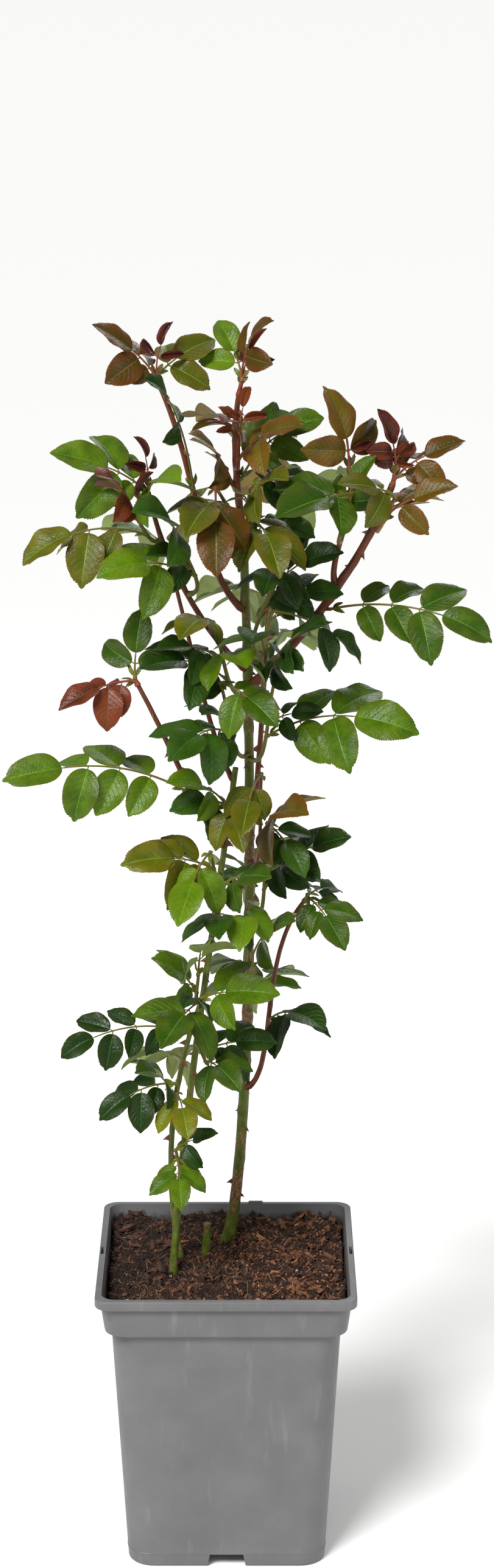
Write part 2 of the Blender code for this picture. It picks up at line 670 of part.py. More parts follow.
def place_leaf(start, out, row, seed, others, own):
    """Turn a leaf until it clears its neighbours and its own spray, and each leaflet the others.

    Side leaflets give way in size, are left out if they still touch, and so is a leaf with no
    room for its stalk.
    """
    best = None
    for turn, lift in TURNS:
        leaf = Leaf(start, out, row[0] + turn, row[1] + lift, row, np.random.default_rng(seed))
        end = test_blade(leaf.end)
        if (cuts(test_stalk(leaf, 0.0), others) or own.touches(test_stalk(leaf, 0.3))
                or cuts(end, others + [own])):
            continue
        kept = Neighbours([end])
        asked = len(leaf.sides)
        for key in sorted(leaf.sides, reverse=True):
            for size in SMALLER:
                leaf.sides[key].scale(size)
                blade = test_blade(leaf.sides[key])
                if not cuts(blade, others + [own, kept]):
                    kept.add([blade])
                    break
            else:
                del leaf.sides[key]
        if cuts(leaf_mesh(leaf), others):
            continue
        if best is None or len(leaf.sides) > len(best.sides):
            best = leaf
        if len(leaf.sides) == asked:
            break
    return best


def grow_shoots(limbs):
    """The short shoots that carry more than one leaf, by spray."""
    shoots = {}
    for name, (carrier, place, row, _) in SPRAYS.items():
        if row:
            way = heading(*row[:2])
            start, out = leave(limbs[carrier], place, way)
            shoots[name] = Limb(start, out, REACH, start + way * row[2], way, SHOOT_RADIUS, STALK_RADIUS)
    return shoots


def grow_leaves(index, name, limbs, shoots, others):
    """A spray's leaves, on its shoot or straight on its limb, as far as they clear the others."""
    carrier, place, _, leaf_rows = SPRAYS[name]
    shoot = shoots.get(name)
    own = Neighbours()
    leaves = []
    for i, row in enumerate(leaf_rows):
        way = heading(*row[:2])
        if shoot:
            start, out = shoot.point((i + 1) / len(leaf_rows) - 0.02), way
        else:
            start, out = leave(limbs[carrier], place, way)
        leaf = place_leaf(start, out, row, (SEED, index, i), others, own)
        if leaf:
            leaves.append(leaf)
            own.add([leaf_mesh(leaf)])
    return leaves


def grow_sprays(limbs, standing):
    """All leaves by spray: each spray in its turn keeps clear of all that stands before it."""
    shoots = grow_shoots(limbs)
    fences = {name: Neighbours([limb_mesh(shoot, 4)]) for name, shoot in shoots.items()}
    grown = {}
    for index, name in enumerate(SPRAYS):
        others = [standing] + [fence for spray, fence in fences.items() if spray != name]
        leaves = grow_leaves(index, name, limbs, shoots, others)
        grown[name] = (shoots.get(name), leaves)
        standing.add([leaf_mesh(leaf) for leaf in leaves])
    return grown


def spray_pieces(shoot, leaves):
    """The spray's closed pieces: its shoot and its leaves."""
    return ([limb_mesh(shoot, 4)] if shoot else []) + [leaf_mesh(leaf) for leaf in leaves]


def join_pieces(name, pieces, finish):
    """Join the pieces into one closed body by a union on their collection."""
    group = bpy.data.collections.new(name + "_pieces")
    bpy.context.scene.collection.children.link(group)
    whole = make_object(name, *pieces[0], finish)
    for i, piece in enumerate(pieces[1:]):
        make_object(f"{name}_piece_{i}", *piece, finish, group)
    if group.objects:
        apply_boolean(whole, "UNION", group=group)
        keep_main_body(whole.data)
    bpy.data.collections.remove(group)
    return whole


# ---------------------------------------------------------------- pot and compost

def square_ring(half, corner, z):
    """Rounded square of points at a height, counter-clockwise."""
    points = []
    for quarter in range(4):
        base = math.radians(90 * quarter)
        for i in range(CORNER_POINTS):
            turn = math.radians(90.0 * i / (CORNER_POINTS - 1))
            x = half - corner + corner * math.cos(turn)
            y = half - corner + corner * math.sin(turn)
            points.append((x * math.cos(base) - y * math.sin(base),
                           x * math.sin(base) + y * math.cos(base), z))
    return points


def loft(name, rows, finish=None):
    """Closed solid through rounded squares given as (half, corner, z), from the bottom up."""
    count = 4 * CORNER_POINTS
    points = [p for row in rows for p in square_ring(*row)]
    faces = [tuple(reversed(range(count)))]
    for ring in range(len(rows) - 1):
        a = ring * count
        faces += [(a + i, a + (i + 1) % count, a + count + (i + 1) % count, a + count + i)
                  for i in range(count)]
    faces.append(tuple(range(len(points) - count, len(points))))
    return make_object(name, points, faces, finish)


def box_faces():
    """Faces of a box whose eight corners run round its bottom, then round its top."""
    return [(3, 2, 1, 0), (4, 5, 6, 7)] + [(i, (i + 1) % 4, 4 + (i + 1) % 4, 4 + i) for i in range(4)]


def body_half(z):
    """Half the outer width of the pot's body at a height."""
    step = POT_HEIGHT - LIP_HEIGHT - COLLAR_HEIGHT - STEP_HEIGHT
    return FOOT_HALF + (SHOULDER_HALF - FOOT_HALF) * z / step


def notch(name, side, grow, bottom):
    """Arch in the middle of one side of the foot, `grow` larger all round."""
    low = NOTCH_WIDTH / 2 + grow
    high = NOTCH_TOP / 2 + grow
    outer = FOOT_HALF + 0.02
    inner = FOOT_HALF - NOTCH_DEPTH - grow
    top = NOTCH_HEIGHT + grow
    outline = ((-low, bottom), (low, bottom), (high, top), (-high, top))
    points = [(x, -outer, z) for x, z in outline] + [(x, -inner, z) for x, z in outline]
    turn = math.radians(90 * side)
    points = [(x * math.cos(turn) - y * math.sin(turn), x * math.sin(turn) + y * math.cos(turn), z)
              for x, y, z in points]
    faces = [(0, 1, 2, 3), (7, 6, 5, 4)] + [(i, 4 + i, 4 + (i + 1) % 4, (i + 1) % 4) for i in range(4)]
    return make_object(name, points, faces)


def inner_rows(gap, top):
    """Rows of the pot's inside, `gap` in from its wall, up to the height `top`."""
    shoulder = POT_HEIGHT - LIP_HEIGHT - COLLAR_HEIGHT - STEP_HEIGHT
    collar = POT_HEIGHT - LIP_HEIGHT - COLLAR_HEIGHT
    inside = WALL + gap
    rows = [(body_half(0.004) - inside - 0.002, BODY_CORNER - inside, FLOOR + gap),
            (body_half(0.006) - inside, BODY_CORNER - inside, FLOOR + gap + 0.0025),
            (SHOULDER_HALF - inside, BODY_CORNER - inside, shoulder + 0.001),
            (COLLAR_FOOT_HALF - inside, RIM_CORNER, collar + 0.001)]
    rise = (top - collar) / (POT_HEIGHT - collar)
    last = COLLAR_FOOT_HALF + (RIM_HALF - LIP_WALL + WALL - COLLAR_FOOT_HALF) * rise
    rows.append((last - inside, RIM_CORNER, top))
    return rows


def make_pot():
    """The moulded pot: lofted outside less its inside, four arches with drain holes, two hand slots."""
    grey = material("pot_plastic", POT_GREY, 0.42)
    shoulder = POT_HEIGHT - LIP_HEIGHT - COLLAR_HEIGHT - STEP_HEIGHT
    collar = shoulder + STEP_HEIGHT
    lip = collar + COLLAR_HEIGHT
    pot = loft("pot", [
        (FOOT_HALF - 0.0012, BODY_CORNER, 0.0),
        (FOOT_HALF, BODY_CORNER, 0.0012),
        (SHOULDER_HALF, BODY_CORNER, shoulder),
        (COLLAR_FOOT_HALF, RIM_CORNER + 0.004, collar),
        (COLLAR_HALF, RIM_CORNER + 0.002, lip),
        (RIM_HALF, RIM_CORNER, lip + 0.0006),
        (RIM_HALF, RIM_CORNER, POT_HEIGHT - 0.0008),
        (RIM_HALF - 0.0008, RIM_CORNER, POT_HEIGHT)], grey)
    inside = loft("pot_inside", inner_rows(0.0, POT_HEIGHT + 0.01))
    for side in range(4):
        apply_boolean(inside, "DIFFERENCE", notch(f"arch_{side}", side, WALL, -0.01))
    apply_boolean(pot, "DIFFERENCE", inside)
    for side in range(4):
        apply_boolean(pot, "DIFFERENCE", notch(f"arch_{side}", side, 0.0, -0.01))
        turn = math.radians(90 * side - 90)
        middle = FOOT_HALF - NOTCH_DEPTH + 2 * DRAIN_RADIUS
        hole = bpy.data.meshes.new("drain")
        work = bmesh.new()
        bmesh.ops.create_cone(work, cap_ends=True, segments=8, radius1=DRAIN_RADIUS,
                              radius2=DRAIN_RADIUS, depth=0.008)
        place = Vector((middle * math.cos(turn), middle * math.sin(turn), NOTCH_HEIGHT + WALL / 2))
        bmesh.ops.translate(work, verts=work.verts, vec=place)
        work.to_mesh(hole)
        work.free()
        drain = bpy.data.objects.new("drain", hole)
        bpy.context.scene.collection.objects.link(drain)
        apply_boolean(pot, "DIFFERENCE", drain)
    for hand in (-1, 1):
        at = hand * (RIM_HALF - LIP_WALL / 2)
        half = (SLOT_WIDTH / 2, SLOT_LENGTH / 2)
        points = [(at + x * half[0], y * half[1], z) for z in (lip - 0.01, POT_HEIGHT + 0.01)
                  for x, y in ((-1, -1), (1, -1), (1, 1), (-1, 1))]
        apply_boolean(pot, "DIFFERENCE", make_object("hand_slot", points, box_faces()))
    near = RIM_HALF - LIP_WALL * 0.8
    far = RIM_HALF - LIP_WALL * 0.3
    points = [(TAB_MIDDLE + x * TAB_WIDTH / 2, y, POT_HEIGHT + z * TAB_HEIGHT) for z in (-1, 1)
              for x, y in ((-1, near), (1, near), (1, far), (-1, far))]
    apply_boolean(pot, "UNION", make_object("tab", points, box_faces()))
    return pot


def make_soil():
    """The compost: fills the pot up to a low mound, flat where the canes stand."""
    brown = material("compost", SOIL_BROWN, 0.95)
    rows = inner_rows(CLEAR, SOIL_TOP - SOIL_DIP)
    half, corner, _ = rows[-1]
    rows.append((half * 0.80, corner * 1.6, SOIL_TOP - SOIL_DIP * 0.25))
    rows.append((half * 0.66, corner * 1.8, SOIL_TOP))
    soil = loft("soil", rows, brown)
    for side in range(4):
        apply_boolean(soil, "DIFFERENCE", notch(f"arch_{side}", side, WALL + CLEAR, -0.01))
    return soil


# ---------------------------------------------------------------- thorns and the whole plant

def thorn(limb, place, azimuth):
    """Small four-sided thorn that stands out of a limb and leans back down it."""
    way = limb.way(place)
    side = unit(np.cross(way, heading(azimuth, 5)))
    out = unit(np.cross(side, way))
    radius = limb.radius(place)
    base = limb.point(place) + out * radius * 0.5
    tip = limb.point(place) + out * (radius + THORN_LENGTH) - way * THORN_LENGTH * 0.45
    points = [base + way * THORN_HALF * 1.5, base + side * THORN_HALF * 0.6,
              base - way * THORN_HALF * 1.5, base - side * THORN_HALF * 0.6, tip]
    faces = [(0, 1, 2, 3), (1, 0, 4), (2, 1, 4), (3, 2, 4), (0, 3, 4)]
    return np.array(points), faces


def limb_thorns(limb):
    """Thorns at an even spacing round a limb, each turned on from the last."""
    if limb.radii[0] < THORN_LEAST_RADIUS or limb.length < THORN_LEAST_LENGTH:
        return []
    count = int(limb.length / THORN_SPACING)
    return [thorn(limb, (i + 0.6) / (count + 0.5), 137.5 * i + 40) for i in range(count)]


def pot_block():
    """The pot's outer form as a plain box of points and faces, for tests of what would touch it."""
    x, z = RIM_HALF, POT_HEIGHT
    points = [(i * x, j * x, k) for k in (0.0, z) for i, j in ((-1, -1), (1, -1), (1, 1), (-1, 1))]
    return np.array(points), box_faces()


def make_limbs(limbs):
    """Each cane and bough as one tapering solid with its thorns joined on."""
    green = material("cane_green", CANE_GREEN, 0.5)
    red = material("cane_red", CANE_RED, 0.45)
    pieces = []
    for name, limb in limbs.items():
        sides = 8 if limb.radii[0] > STOUT_RADIUS else 6
        parts = [limb_mesh(limb, sides)] + limb_thorns(limb)
        pieces += parts
        join_pieces(name, parts, green if name in STEMS else red)
    return pieces


def main():
    """Clear the scene and make the pot, the compost, the limbs and the sprays."""
    for old in list(bpy.data.objects):
        bpy.data.objects.remove(old, do_unlink=True)
    make_pot()
    make_soil()
    limbs = grow_limbs()
    standing = Neighbours([pot_block()] + make_limbs(limbs))
    finishes = {tint: material("leaf_" + tint, colour, 0.4) for tint, colour in TINTS.items()}
    for name, (shoot, leaves) in grow_sprays(limbs, standing).items():
        join_pieces(name, spray_pieces(shoot, leaves), finishes[leaves[0].tint])


if __name__ == "__main__":
    main()
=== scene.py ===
"""Potted climbing rose: a square nursery pot of compost, thorny canes and boughs, compound leaves.

Laid out as an add-on whose operators each make one group of pieces, and run as a script.
Metres, +Z up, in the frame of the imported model. Azimuths are in degrees, 0 to the right (+X) and
90 to the back (+Y); a rise is in degrees above the level.
"""
import functools
import math

import bpy
import numpy as np
from mathutils.bvhtree import BVHTree
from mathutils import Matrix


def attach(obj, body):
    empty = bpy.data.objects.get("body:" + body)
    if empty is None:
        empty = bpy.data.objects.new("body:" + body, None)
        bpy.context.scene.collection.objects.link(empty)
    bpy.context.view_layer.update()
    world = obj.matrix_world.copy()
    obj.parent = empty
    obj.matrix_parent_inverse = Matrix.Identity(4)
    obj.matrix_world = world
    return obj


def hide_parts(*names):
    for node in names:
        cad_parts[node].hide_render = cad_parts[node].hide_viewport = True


bl_info = {
    "name": "Potted Climbing Rose",
    "version": (1, 0, 0),
    "blender": (4, 5, 0),
    "location": "View3D > Sidebar > Rose",
    "description": "Makes a potted climbing rose, piece by piece, round its packed solids",
    "category": "Add Mesh",
}

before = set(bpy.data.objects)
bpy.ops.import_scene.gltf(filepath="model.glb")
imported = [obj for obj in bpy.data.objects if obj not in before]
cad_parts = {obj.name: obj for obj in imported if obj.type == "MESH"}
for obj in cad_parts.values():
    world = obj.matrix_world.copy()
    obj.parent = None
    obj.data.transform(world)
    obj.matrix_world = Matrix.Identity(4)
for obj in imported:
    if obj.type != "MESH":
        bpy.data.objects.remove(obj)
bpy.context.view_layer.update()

CLEAR = 0.0003  # gap that touching pieces keep

# Pot: square, rounded corners, thin moulded wall
POT_HEIGHT = 0.2334
RIM_HALF = 0.1  # half the outer width at the lip
COLLAR_HALF = 0.096  # under the lip
COLLAR_FOOT_HALF = 0.093
SHOULDER_HALF = 0.0882  # body just under the collar
FOOT_HALF = 0.077
LIP_HEIGHT = 0.0075
COLLAR_HEIGHT = 0.024
STEP_HEIGHT = 0.0025
WALL = 0.0018
LIP_WALL = 0.005
FLOOR = 0.0022
RIM_CORNER = 0.011
BODY_CORNER = 0.02
NOTCH_WIDTH = 0.034  # arch in the middle of each side of the foot
NOTCH_TOP = 0.026
NOTCH_HEIGHT = 0.01
NOTCH_DEPTH = 0.03
DRAIN_RADIUS = 0.005
SLOT_LENGTH = 0.015  # hand slot in the left and the right lip
SLOT_WIDTH = 0.0024
TAB_MIDDLE = 0.023  # low tab on the back lip
TAB_WIDTH = 0.013
TAB_HEIGHT = 0.0014

# Compost
SOIL_TOP = 0.2195
SOIL_DIP = 0.004  # how far it falls towards the corners

# Canes: foot (x, y), lean at the foot (azimuth, rise, how far it holds as a share of the span),
# tip (x, y, z), tip's heading, radii
STEMS = {
    "stem_right": ((0.0, 0.05), (15, 73.5, 0.12), (0.0135, 0.02, 0.79), (196, 87.5), 0.0046, 0.0032),
    "stem_middle": ((-0.042, -0.011), (15, 86, 0.36), (0.0075, 0.005, 0.625), (18, 82), 0.0029, 0.0021),
    "stem_left": ((-0.036, 0.01), (180, 80, 0.36), (-0.017, 0.01, 0.444), (0, 70), 0.0025, 0.0018),
    "stem_stub": ((-0.0165, 0.026), (90, 86, 0.36), (-0.0155, 0.027, 0.245), (90, 86), 0.0032, 0.0028),
}

# Boughs: carrier, place along it, tip (x, y, z), tip's heading (azimuth, rise), radii
BOUGHS = {
    "bough_top": ("stem_right", 1.0, (0.01, 0.01, 0.908), (0, 80), 0.0031, 0.0019),
    "bough_top_left": ("stem_right", 0.93, (-0.048, 0.0, 0.916), (180, 66), 0.0027, 0.0019),
    "bough_left": ("stem_right", 0.86, (-0.055, -0.03, 0.838), (190, 78), 0.0025, 0.0017),
    "bough_right": ("stem_right", 0.84, (0.122, -0.03, 0.848), (0, 70), 0.0039, 0.0025),
    "bough_right_side": ("bough_right", 0.6, (0.09, -0.036, 0.86), (185, 78), 0.0023, 0.0016),
    "bough_left_low": ("stem_middle", 0.86, (-0.065, -0.03, 0.698), (180, 62), 0.0025, 0.0017),
    "bough_right_low": ("stem_right", 0.34, (0.06, 0.0, 0.521), (-30, 50), 0.0022, 0.0016),
    "bough_back": ("stem_right", 0.66, (0.035, 0.105, 0.79), (85, 62), 0.0024, 0.0015),
    "bough_back_left": ("stem_middle", 0.98, (-0.045, 0.075, 0.775), (125, 62), 0.002, 0.0014),
}
SLANT = 0.9  # how far a bough leans along its carrier as it leaves, to the square way
REACH = 0.36  # how far a limb's way at its tip reaches in, as a share of its span
BOUGH_REACH = 0.216  # the same for a bough's way at its foot
RING_GAP = 0.028  # about how far apart the rings of a limb are
RING_CROWDING = 1.25  # over 1 where they stand closer together at its foot
STOUT_RADIUS = 0.004  # limbs above this radius have eight sides, the others six
THORN_LENGTH = 0.0055
THORN_HALF = 0.0018
THORN_SPACING = 0.06
THORN_LEAST_RADIUS = 0.0023  # thinner limbs bear no thorns, nor do shorter ones than
THORN_LEAST_LENGTH = 0.1
GOLDEN = 137.5  # degrees from one thorn, bud or leaf round to the next

# Sprays: carrier, place along it, shoot (azimuth, rise, length) or None,
# leaves (azimuth, rise, reach, leaflets, last leaflet's length, hang, tint). Azimuth, rise and
# reach run from a leaf's foot to its last tip; hang is 0 where its leaflets lie flat towards the
# light and 1 where they hang.
SPRAYS = {
    "top_left_end": ("bough_top_left", 1.0, (180, 76, 0.007), (
        (-157, 36, 0.064, 5, 0.038, 0.6, "bronze"), (26, 22, 0.049, 3, 0.038, 0.2, "olive"))),
    "top_left_side": ("bough_top_left", 0.6, None, ((-114, 61, 0.116, 3, 0.03, 0.4, "dark"),)),
    "crown_end": ("bough_top", 1.0, (-38, 73, 0.011), ((-66, 51, 0.068, 3, 0.032, 0.3, "bronze"),
        (131, 56, 0.052, 3, 0.034, 0.3, "green"))),
    "crown_right": ("bough_top", 0.5, None, ((-13, 37, 0.079, 5, 0.038, 0.1, "green"),)),
    "crown_front": ("bough_top", 0.58, (-86, 50, 0.033), ((-49, 26, 0.073, 5, 0.036, 0.3, "bronze"),
        (-102, 27, 0.046, 3, 0.026, 0.3, "red"))),
    "crown_left": ("bough_top", 0.44, None, ((-136, 45, 0.069, 5, 0.032, 0.4, "bronze"),)),
    "right_side_end": ("bough_right_side", 1.0, None, ((-143, 68, 0.063, 3, 0.045, 0.3, "bronze"),)),
    "right_side_low": ("bough_right_side", 0.45, (-71, 59, 0.046), (
        (2, 63, 0.059, 3, 0.032, 0.3, "green"), (-132, -10, 0.055, 3, 0.058, 0.2, "green"))),
    "right_end": ("bough_right", 1.0, (0, 80, 0.006), ((0, 22, 0.058, 5, 0.033, 0.5, "bronze"),
        (-144, 69, 0.046, 5, 0.029, 0.4, "red"))),
    "right_outer": ("bough_right", 0.84, (-44, 52, 0.034), ((-10, 20, 0.06, 3, 0.038, 0.6, "bronze"),
        (-138, 10, 0.038, 3, 0.038, 0.3, "olive"))),
    "left_end": ("bough_left", 1.0, (179, 79, 0.006), ((-162, 20, 0.069, 5, 0.048, 0.4, "green"),
        (-69, 9, 0.043, 3, 0.042, 0.6, "green"))),
    "left_outer": ("bough_left", 0.82, (-144, 42, 0.029), ((-164, -11, 0.095, 5, 0.046, 0.9, "olive"),
        (-116, 35, 0.068, 5, 0.033, 0.6, "red"))),
    "left_front": ("bough_left", 0.55, (-100, 59, 0.051), ((-136, 9, 0.091, 5, 0.047, 0.3, "green"),
        (-130, 27, 0.059, 3, 0.046, 0.3, "dark"))),
    "centre_top_left": ("bough_top", 0.32, (-116, 31, 0.045), ((-115, -5, 0.086, 5, 0.045, 0.5, "olive"),
        (-89, -42, 0.082, 3, 0.044, 1.0, "bronze"))),
    "centre_top_front": ("bough_top", 0.22, (-81, 44, 0.05), ((-88, -7, 0.093, 5, 0.044, 0.9, "olive"),
        (-68, 20, 0.071, 3, 0.04, 0.3, "olive"), (28, 9, 0.042, 5, 0.034, 0.4, "dark"))),
    "right_centre_high": ("bough_right", 0.15, (-78, 62, 0.095), (
        (-37, 40, 0.096, 5, 0.038, 0.4, "dark"), (-103, -13, 0.042, 3, 0.036, 0.7, "dark"))),
    "right_centre_low": ("stem_right", 0.81, (-76, 56, 0.112), ((-62, 39, 0.121, 5, 0.038, 0.3, "dark"),
        (-97, 23, 0.085, 3, 0.042, 0.5, "dark"), (14, -26, 0.085, 5, 0.04, 0.7, "dark"))),
    "far_right": ("bough_right", 0.5, None, ((-22, -5, 0.131, 7, 0.046, 0.0, "green"),)),
    "far_right_low": ("stem_right", 0.755, (-68, 57, 0.085), ((-28, 7, 0.125, 5, 0.052, 0.0, "green"),
        (13, -50, 0.066, 5, 0.04, 0.5, "dark"))),
    "mid_left_high": ("stem_right", 0.83, (-121, 54, 0.081), ((-135, 16, 0.092, 5, 0.044, 0.4, "dark"),
        (-77, 2, 0.074, 3, 0.042, 0.5, "green"), (-109, -3, 0.064, 3, 0.04, 0.5, "olive"))),
    "mid_left_low": ("stem_right", 0.76, (-111, 51, 0.09), ((-117, 0, 0.093, 5, 0.046, 0.3, "dark"),
        (-50, -21, 0.057, 5, 0.038, 0.4, "green"))),
    "left_low_end": ("bough_left_low", 1.0, (180, 69, 0.005), ((-153, -19, 0.046, 5, 0.036, 0.9, "red"),
        (59, 69, 0.032, 3, 0.036, 0.3, "green"))),
    "left_hanging": ("bough_left_low", 0.42, None, ((-165, 6, 0.141, 7, 0.05, 0.7, "green"),)),
    "centre": ("stem_right", 0.635, (-74, 70, 0.084), ((-48, 28, 0.087, 5, 0.044, 0.2, "bronze"),
        (-87, -21, 0.087, 3, 0.04, 0.9, "olive"))),
    "centre_low": ("stem_right", 0.57, (-68, 69, 0.091), ((-31, 33, 0.09, 5, 0.038, 0.2, "dark"),
        (-60, -36, 0.059, 5, 0.034, 0.4, "dark"))),
    "centre_left": ("stem_middle", 0.93, (-98, 22, 0.023), ((-133, 27, 0.062, 3, 0.036, 0.7, "green"),
        (-77, -24, 0.057, 3, 0.036, 0.4, "olive"))),
    "low_mid_left": ("stem_middle", 0.8, (-103, 43, 0.04), ((-146, 10, 0.08, 5, 0.046, 0.3, "olive"),
        (-109, -34, 0.077, 3, 0.044, 0.9, "green"))),
    "low_mid_front": ("stem_middle", 0.7, (-71, 57, 0.052), ((-89, 9, 0.071, 5, 0.038, 0.4, "dark"),
        (-51, 14, 0.053, 3, 0.036, 0.4, "green"))),
    "low_mid_right": ("stem_right", 0.47, (-87, 68, 0.095), ((-66, 38, 0.096, 3, 0.038, 0.2, "green"),
        (-95, -21, 0.086, 5, 0.04, 0.6, "green"))),
    "right_low_end": ("bough_right_low", 1.0, (-79, 37, 0.013), (
        (-63, -27, 0.045, 5, 0.036, 0.3, "green"), (49, -13, 0.041, 3, 0.032, 0.5, "dark"))),
    "right_low_side": ("bough_right_low", 0.45, None, ((-57, 22, 0.065, 5, 0.043, 0.9, "dark"),)),
    "low_front": ("stem_middle", 0.55, (-91, 23, 0.026), ((-110, -9, 0.078, 5, 0.044, 0.2, "green"),
        (-31, 6, 0.06, 3, 0.048, 0.0, "green"))),
    "low_left_high": ("stem_left", 0.97, (-93, 57, 0.033), ((-126, 35, 0.057, 3, 0.04, 0.3, "green"),
        (-84, 36, 0.063, 3, 0.036, 0.5, "green"))),
    "low_left_outer": ("stem_left", 0.85, None, ((-153, -1, 0.108, 7, 0.034, 0.2, "dark"),)),
    "low_right": ("stem_middle", 0.46, (-76, -9, 0.028), ((-10, 7, 0.052, 5, 0.036, 0.3, "dark"),
        (-64, -9, 0.052, 3, 0.038, 0.2, "green"))),
    "low_left": ("stem_left", 0.6, (-85, 50, 0.028), ((-112, 34, 0.078, 3, 0.036, 0.4, "green"),
        (-94, -5, 0.066, 3, 0.034, 0.9, "olive"), (-152, -18, 0.068, 5, 0.032, 0.5, "dark"))),
    "base_front": ("stem_middle", 0.22, (-113, 53, 0.016), ((-86, -21, 0.058, 5, 0.032, 0.2, "green"),
        (-31, 23, 0.042, 3, 0.026, 0.4, "dark"))),
    "back_end": ("bough_back", 1.0, (33, 53, 0.015), ((45, 16, 0.062, 5, 0.046, 0.4, "green"),
        (161, 50, 0.048, 5, 0.042, 0.4, "bronze"))),
    "back_side": ("bough_back", 0.6, (84, 63, 0.056), ((65, -13, 0.089, 5, 0.048, 0.5, "green"),
        (129, -8, 0.078, 5, 0.048, 0.5, "green"))),
    "back_left_end": ("bough_back_left", 1.0, (73, -1, 0.016), ((128, -7, 0.062, 5, 0.046, 0.4, "green"),
        (68, 26, 0.06, 5, 0.044, 0.4, "olive"))),
    "back_top": ("bough_top", 0.72, (91, 17, 0.032), ((113, 5, 0.066, 5, 0.036, 0.3, "bronze"),
        (55, -13, 0.045, 5, 0.038, 0.3, "green"))),
    "back_right": ("bough_right", 0.8, (68, 21, 0.038), ((62, 12, 0.077, 5, 0.042, 0.3, "bronze"),
        (104, 9, 0.053, 5, 0.04, 0.4, "green"))),
    "back_mid": ("stem_right", 0.54, (83, 56, 0.072), ((115, 8, 0.074, 5, 0.044, 0.4, "green"),
        (54, -17, 0.066, 5, 0.042, 0.5, "dark"))),
    "back_low": ("stem_right", 0.43, (81, 37, 0.05), ((69, -3, 0.08, 5, 0.042, 0.5, "green"),
        (120, -20, 0.057, 5, 0.042, 0.4, "dark"))),
    "back_base": ("stem_left", 0.72, (89, 4, 0.033), ((116, -20, 0.073, 5, 0.04, 0.4, "green"),
        (71, -29, 0.055, 5, 0.04, 0.4, "olive"))),
}

# Leaves
LEAST_STALK = {3: 0.45, 5: 0.75, 7: 1.2}  # stalk over last leaflet, where reach is short
PAIR_PLACES = {3: (0.66,), 5: (0.42, 0.8), 7: (0.32, 0.57, 0.82)}
PAIR_SIZES = {3: (0.84,), 5: (0.76, 0.92), 7: (0.7, 0.84, 0.92)}
BLADE_WIDTH = 0.66  # width over length
FOLD = (8, 24)  # degrees that each half of a blade is folded up from flat
ARCH = (15, 50)  # degrees that a blade bends down along its length
TWIST = (-18, 18)
BEND = (35, 60)  # degrees that a leaf's stalk arcs down
SPREAD = (50, 66)  # degrees between a side leaflet and the stalk
DROOP = (-4, 16)
BLADE_HALF_THICK = 0.0005
NECK_LENGTH = 0.0026  # stretch of the stalk that a side leaflet grows from
STALK_RADIUS = 0.0013
STALK_TIP_RADIUS = 0.001
SHOOT_RADIUS = 0.0019
PETIOLULE = 0.0025
TEST_SWELL = 0.0005  # extra size of a blade while its clearance is tested
LIGHT_RISE = 22  # leaves turn their faces outwards, to light from this rise
BACK_FROM = 0.05  # leaves whose tips reach past this y face the back, the others the front
SEED = 11

# Ways a leaf may be turned, in degrees of azimuth and rise, until it clears its neighbours
TURNS = ((0, 0), (7, 0), (-7, 0), (0, 7), (0, -7), (13, 4), (-13, 4), (13, -7), (-13, -7),
         (20, 0), (-20, 0), (0, 14), (0, -14), (28, 6), (-28, 6))

SMALLER = (1.0, 0.88, 0.88, 0.88)  # steps in which a side leaflet gives way before it is left out


# ---------- the growth rule

def heading(azimuth, rise):
    """Unit vector at an azimuth and a rise."""
    a = math.radians(azimuth)
    r = math.radians(rise)
    return np.array([math.cos(a) * math.cos(r), math.sin(a) * math.cos(r), math.sin(r)])


def unit(v):
    """The vector, or each row of an array, at length one."""
    return v / np.linalg.norm(v, axis=-1, keepdims=True)


def ring_frames(ways):
    """Two directions square to each of the ways along a path, carried along without twist."""
    first = np.cross(ways[0], (0.0, 1.0, 0.0) if abs(ways[0][1]) < 0.9 else (1.0, 0.0, 0.0))
    sides = [unit(first)]
    for way in ways[1:]:
        side = sides[-1] - way * np.dot(sides[-1], way)
        sides.append(unit(side))
    sides = np.array(sides)
    return sides, np.cross(ways, sides)


def tube_points(path, ways, radii, turn):
    """Rings round a path: each point is the ring's centre plus its radius along the turned frame."""
    across, over = ring_frames(ways)
    rim = (across[:, None, :] * np.cos(turn)[None, :, None]
           + over[:, None, :] * np.sin(turn)[None, :, None])
    return path[:, None, :] + rim * radii[..., None]


def tube(path, ways, radii, count):
    """Closed tube of `count` sides through the points of a path, each ring square to its way."""
    turn = np.arange(count) * 2 * math.pi / count
    points = tube_points(path, ways, np.asarray(radii)[:, None], turn).reshape(-1, 3)
    faces = []
    for ring in range(len(path) - 1):
        a = ring * count
        for i in range(count):
            j = (i + 1) % count
            faces.append((a + i, a + j, a + count + j, a + count + i))
    faces.append(tuple(reversed(range(count))))
    faces.append(tuple(range(len(points) - count, len(points))))
    return points, faces


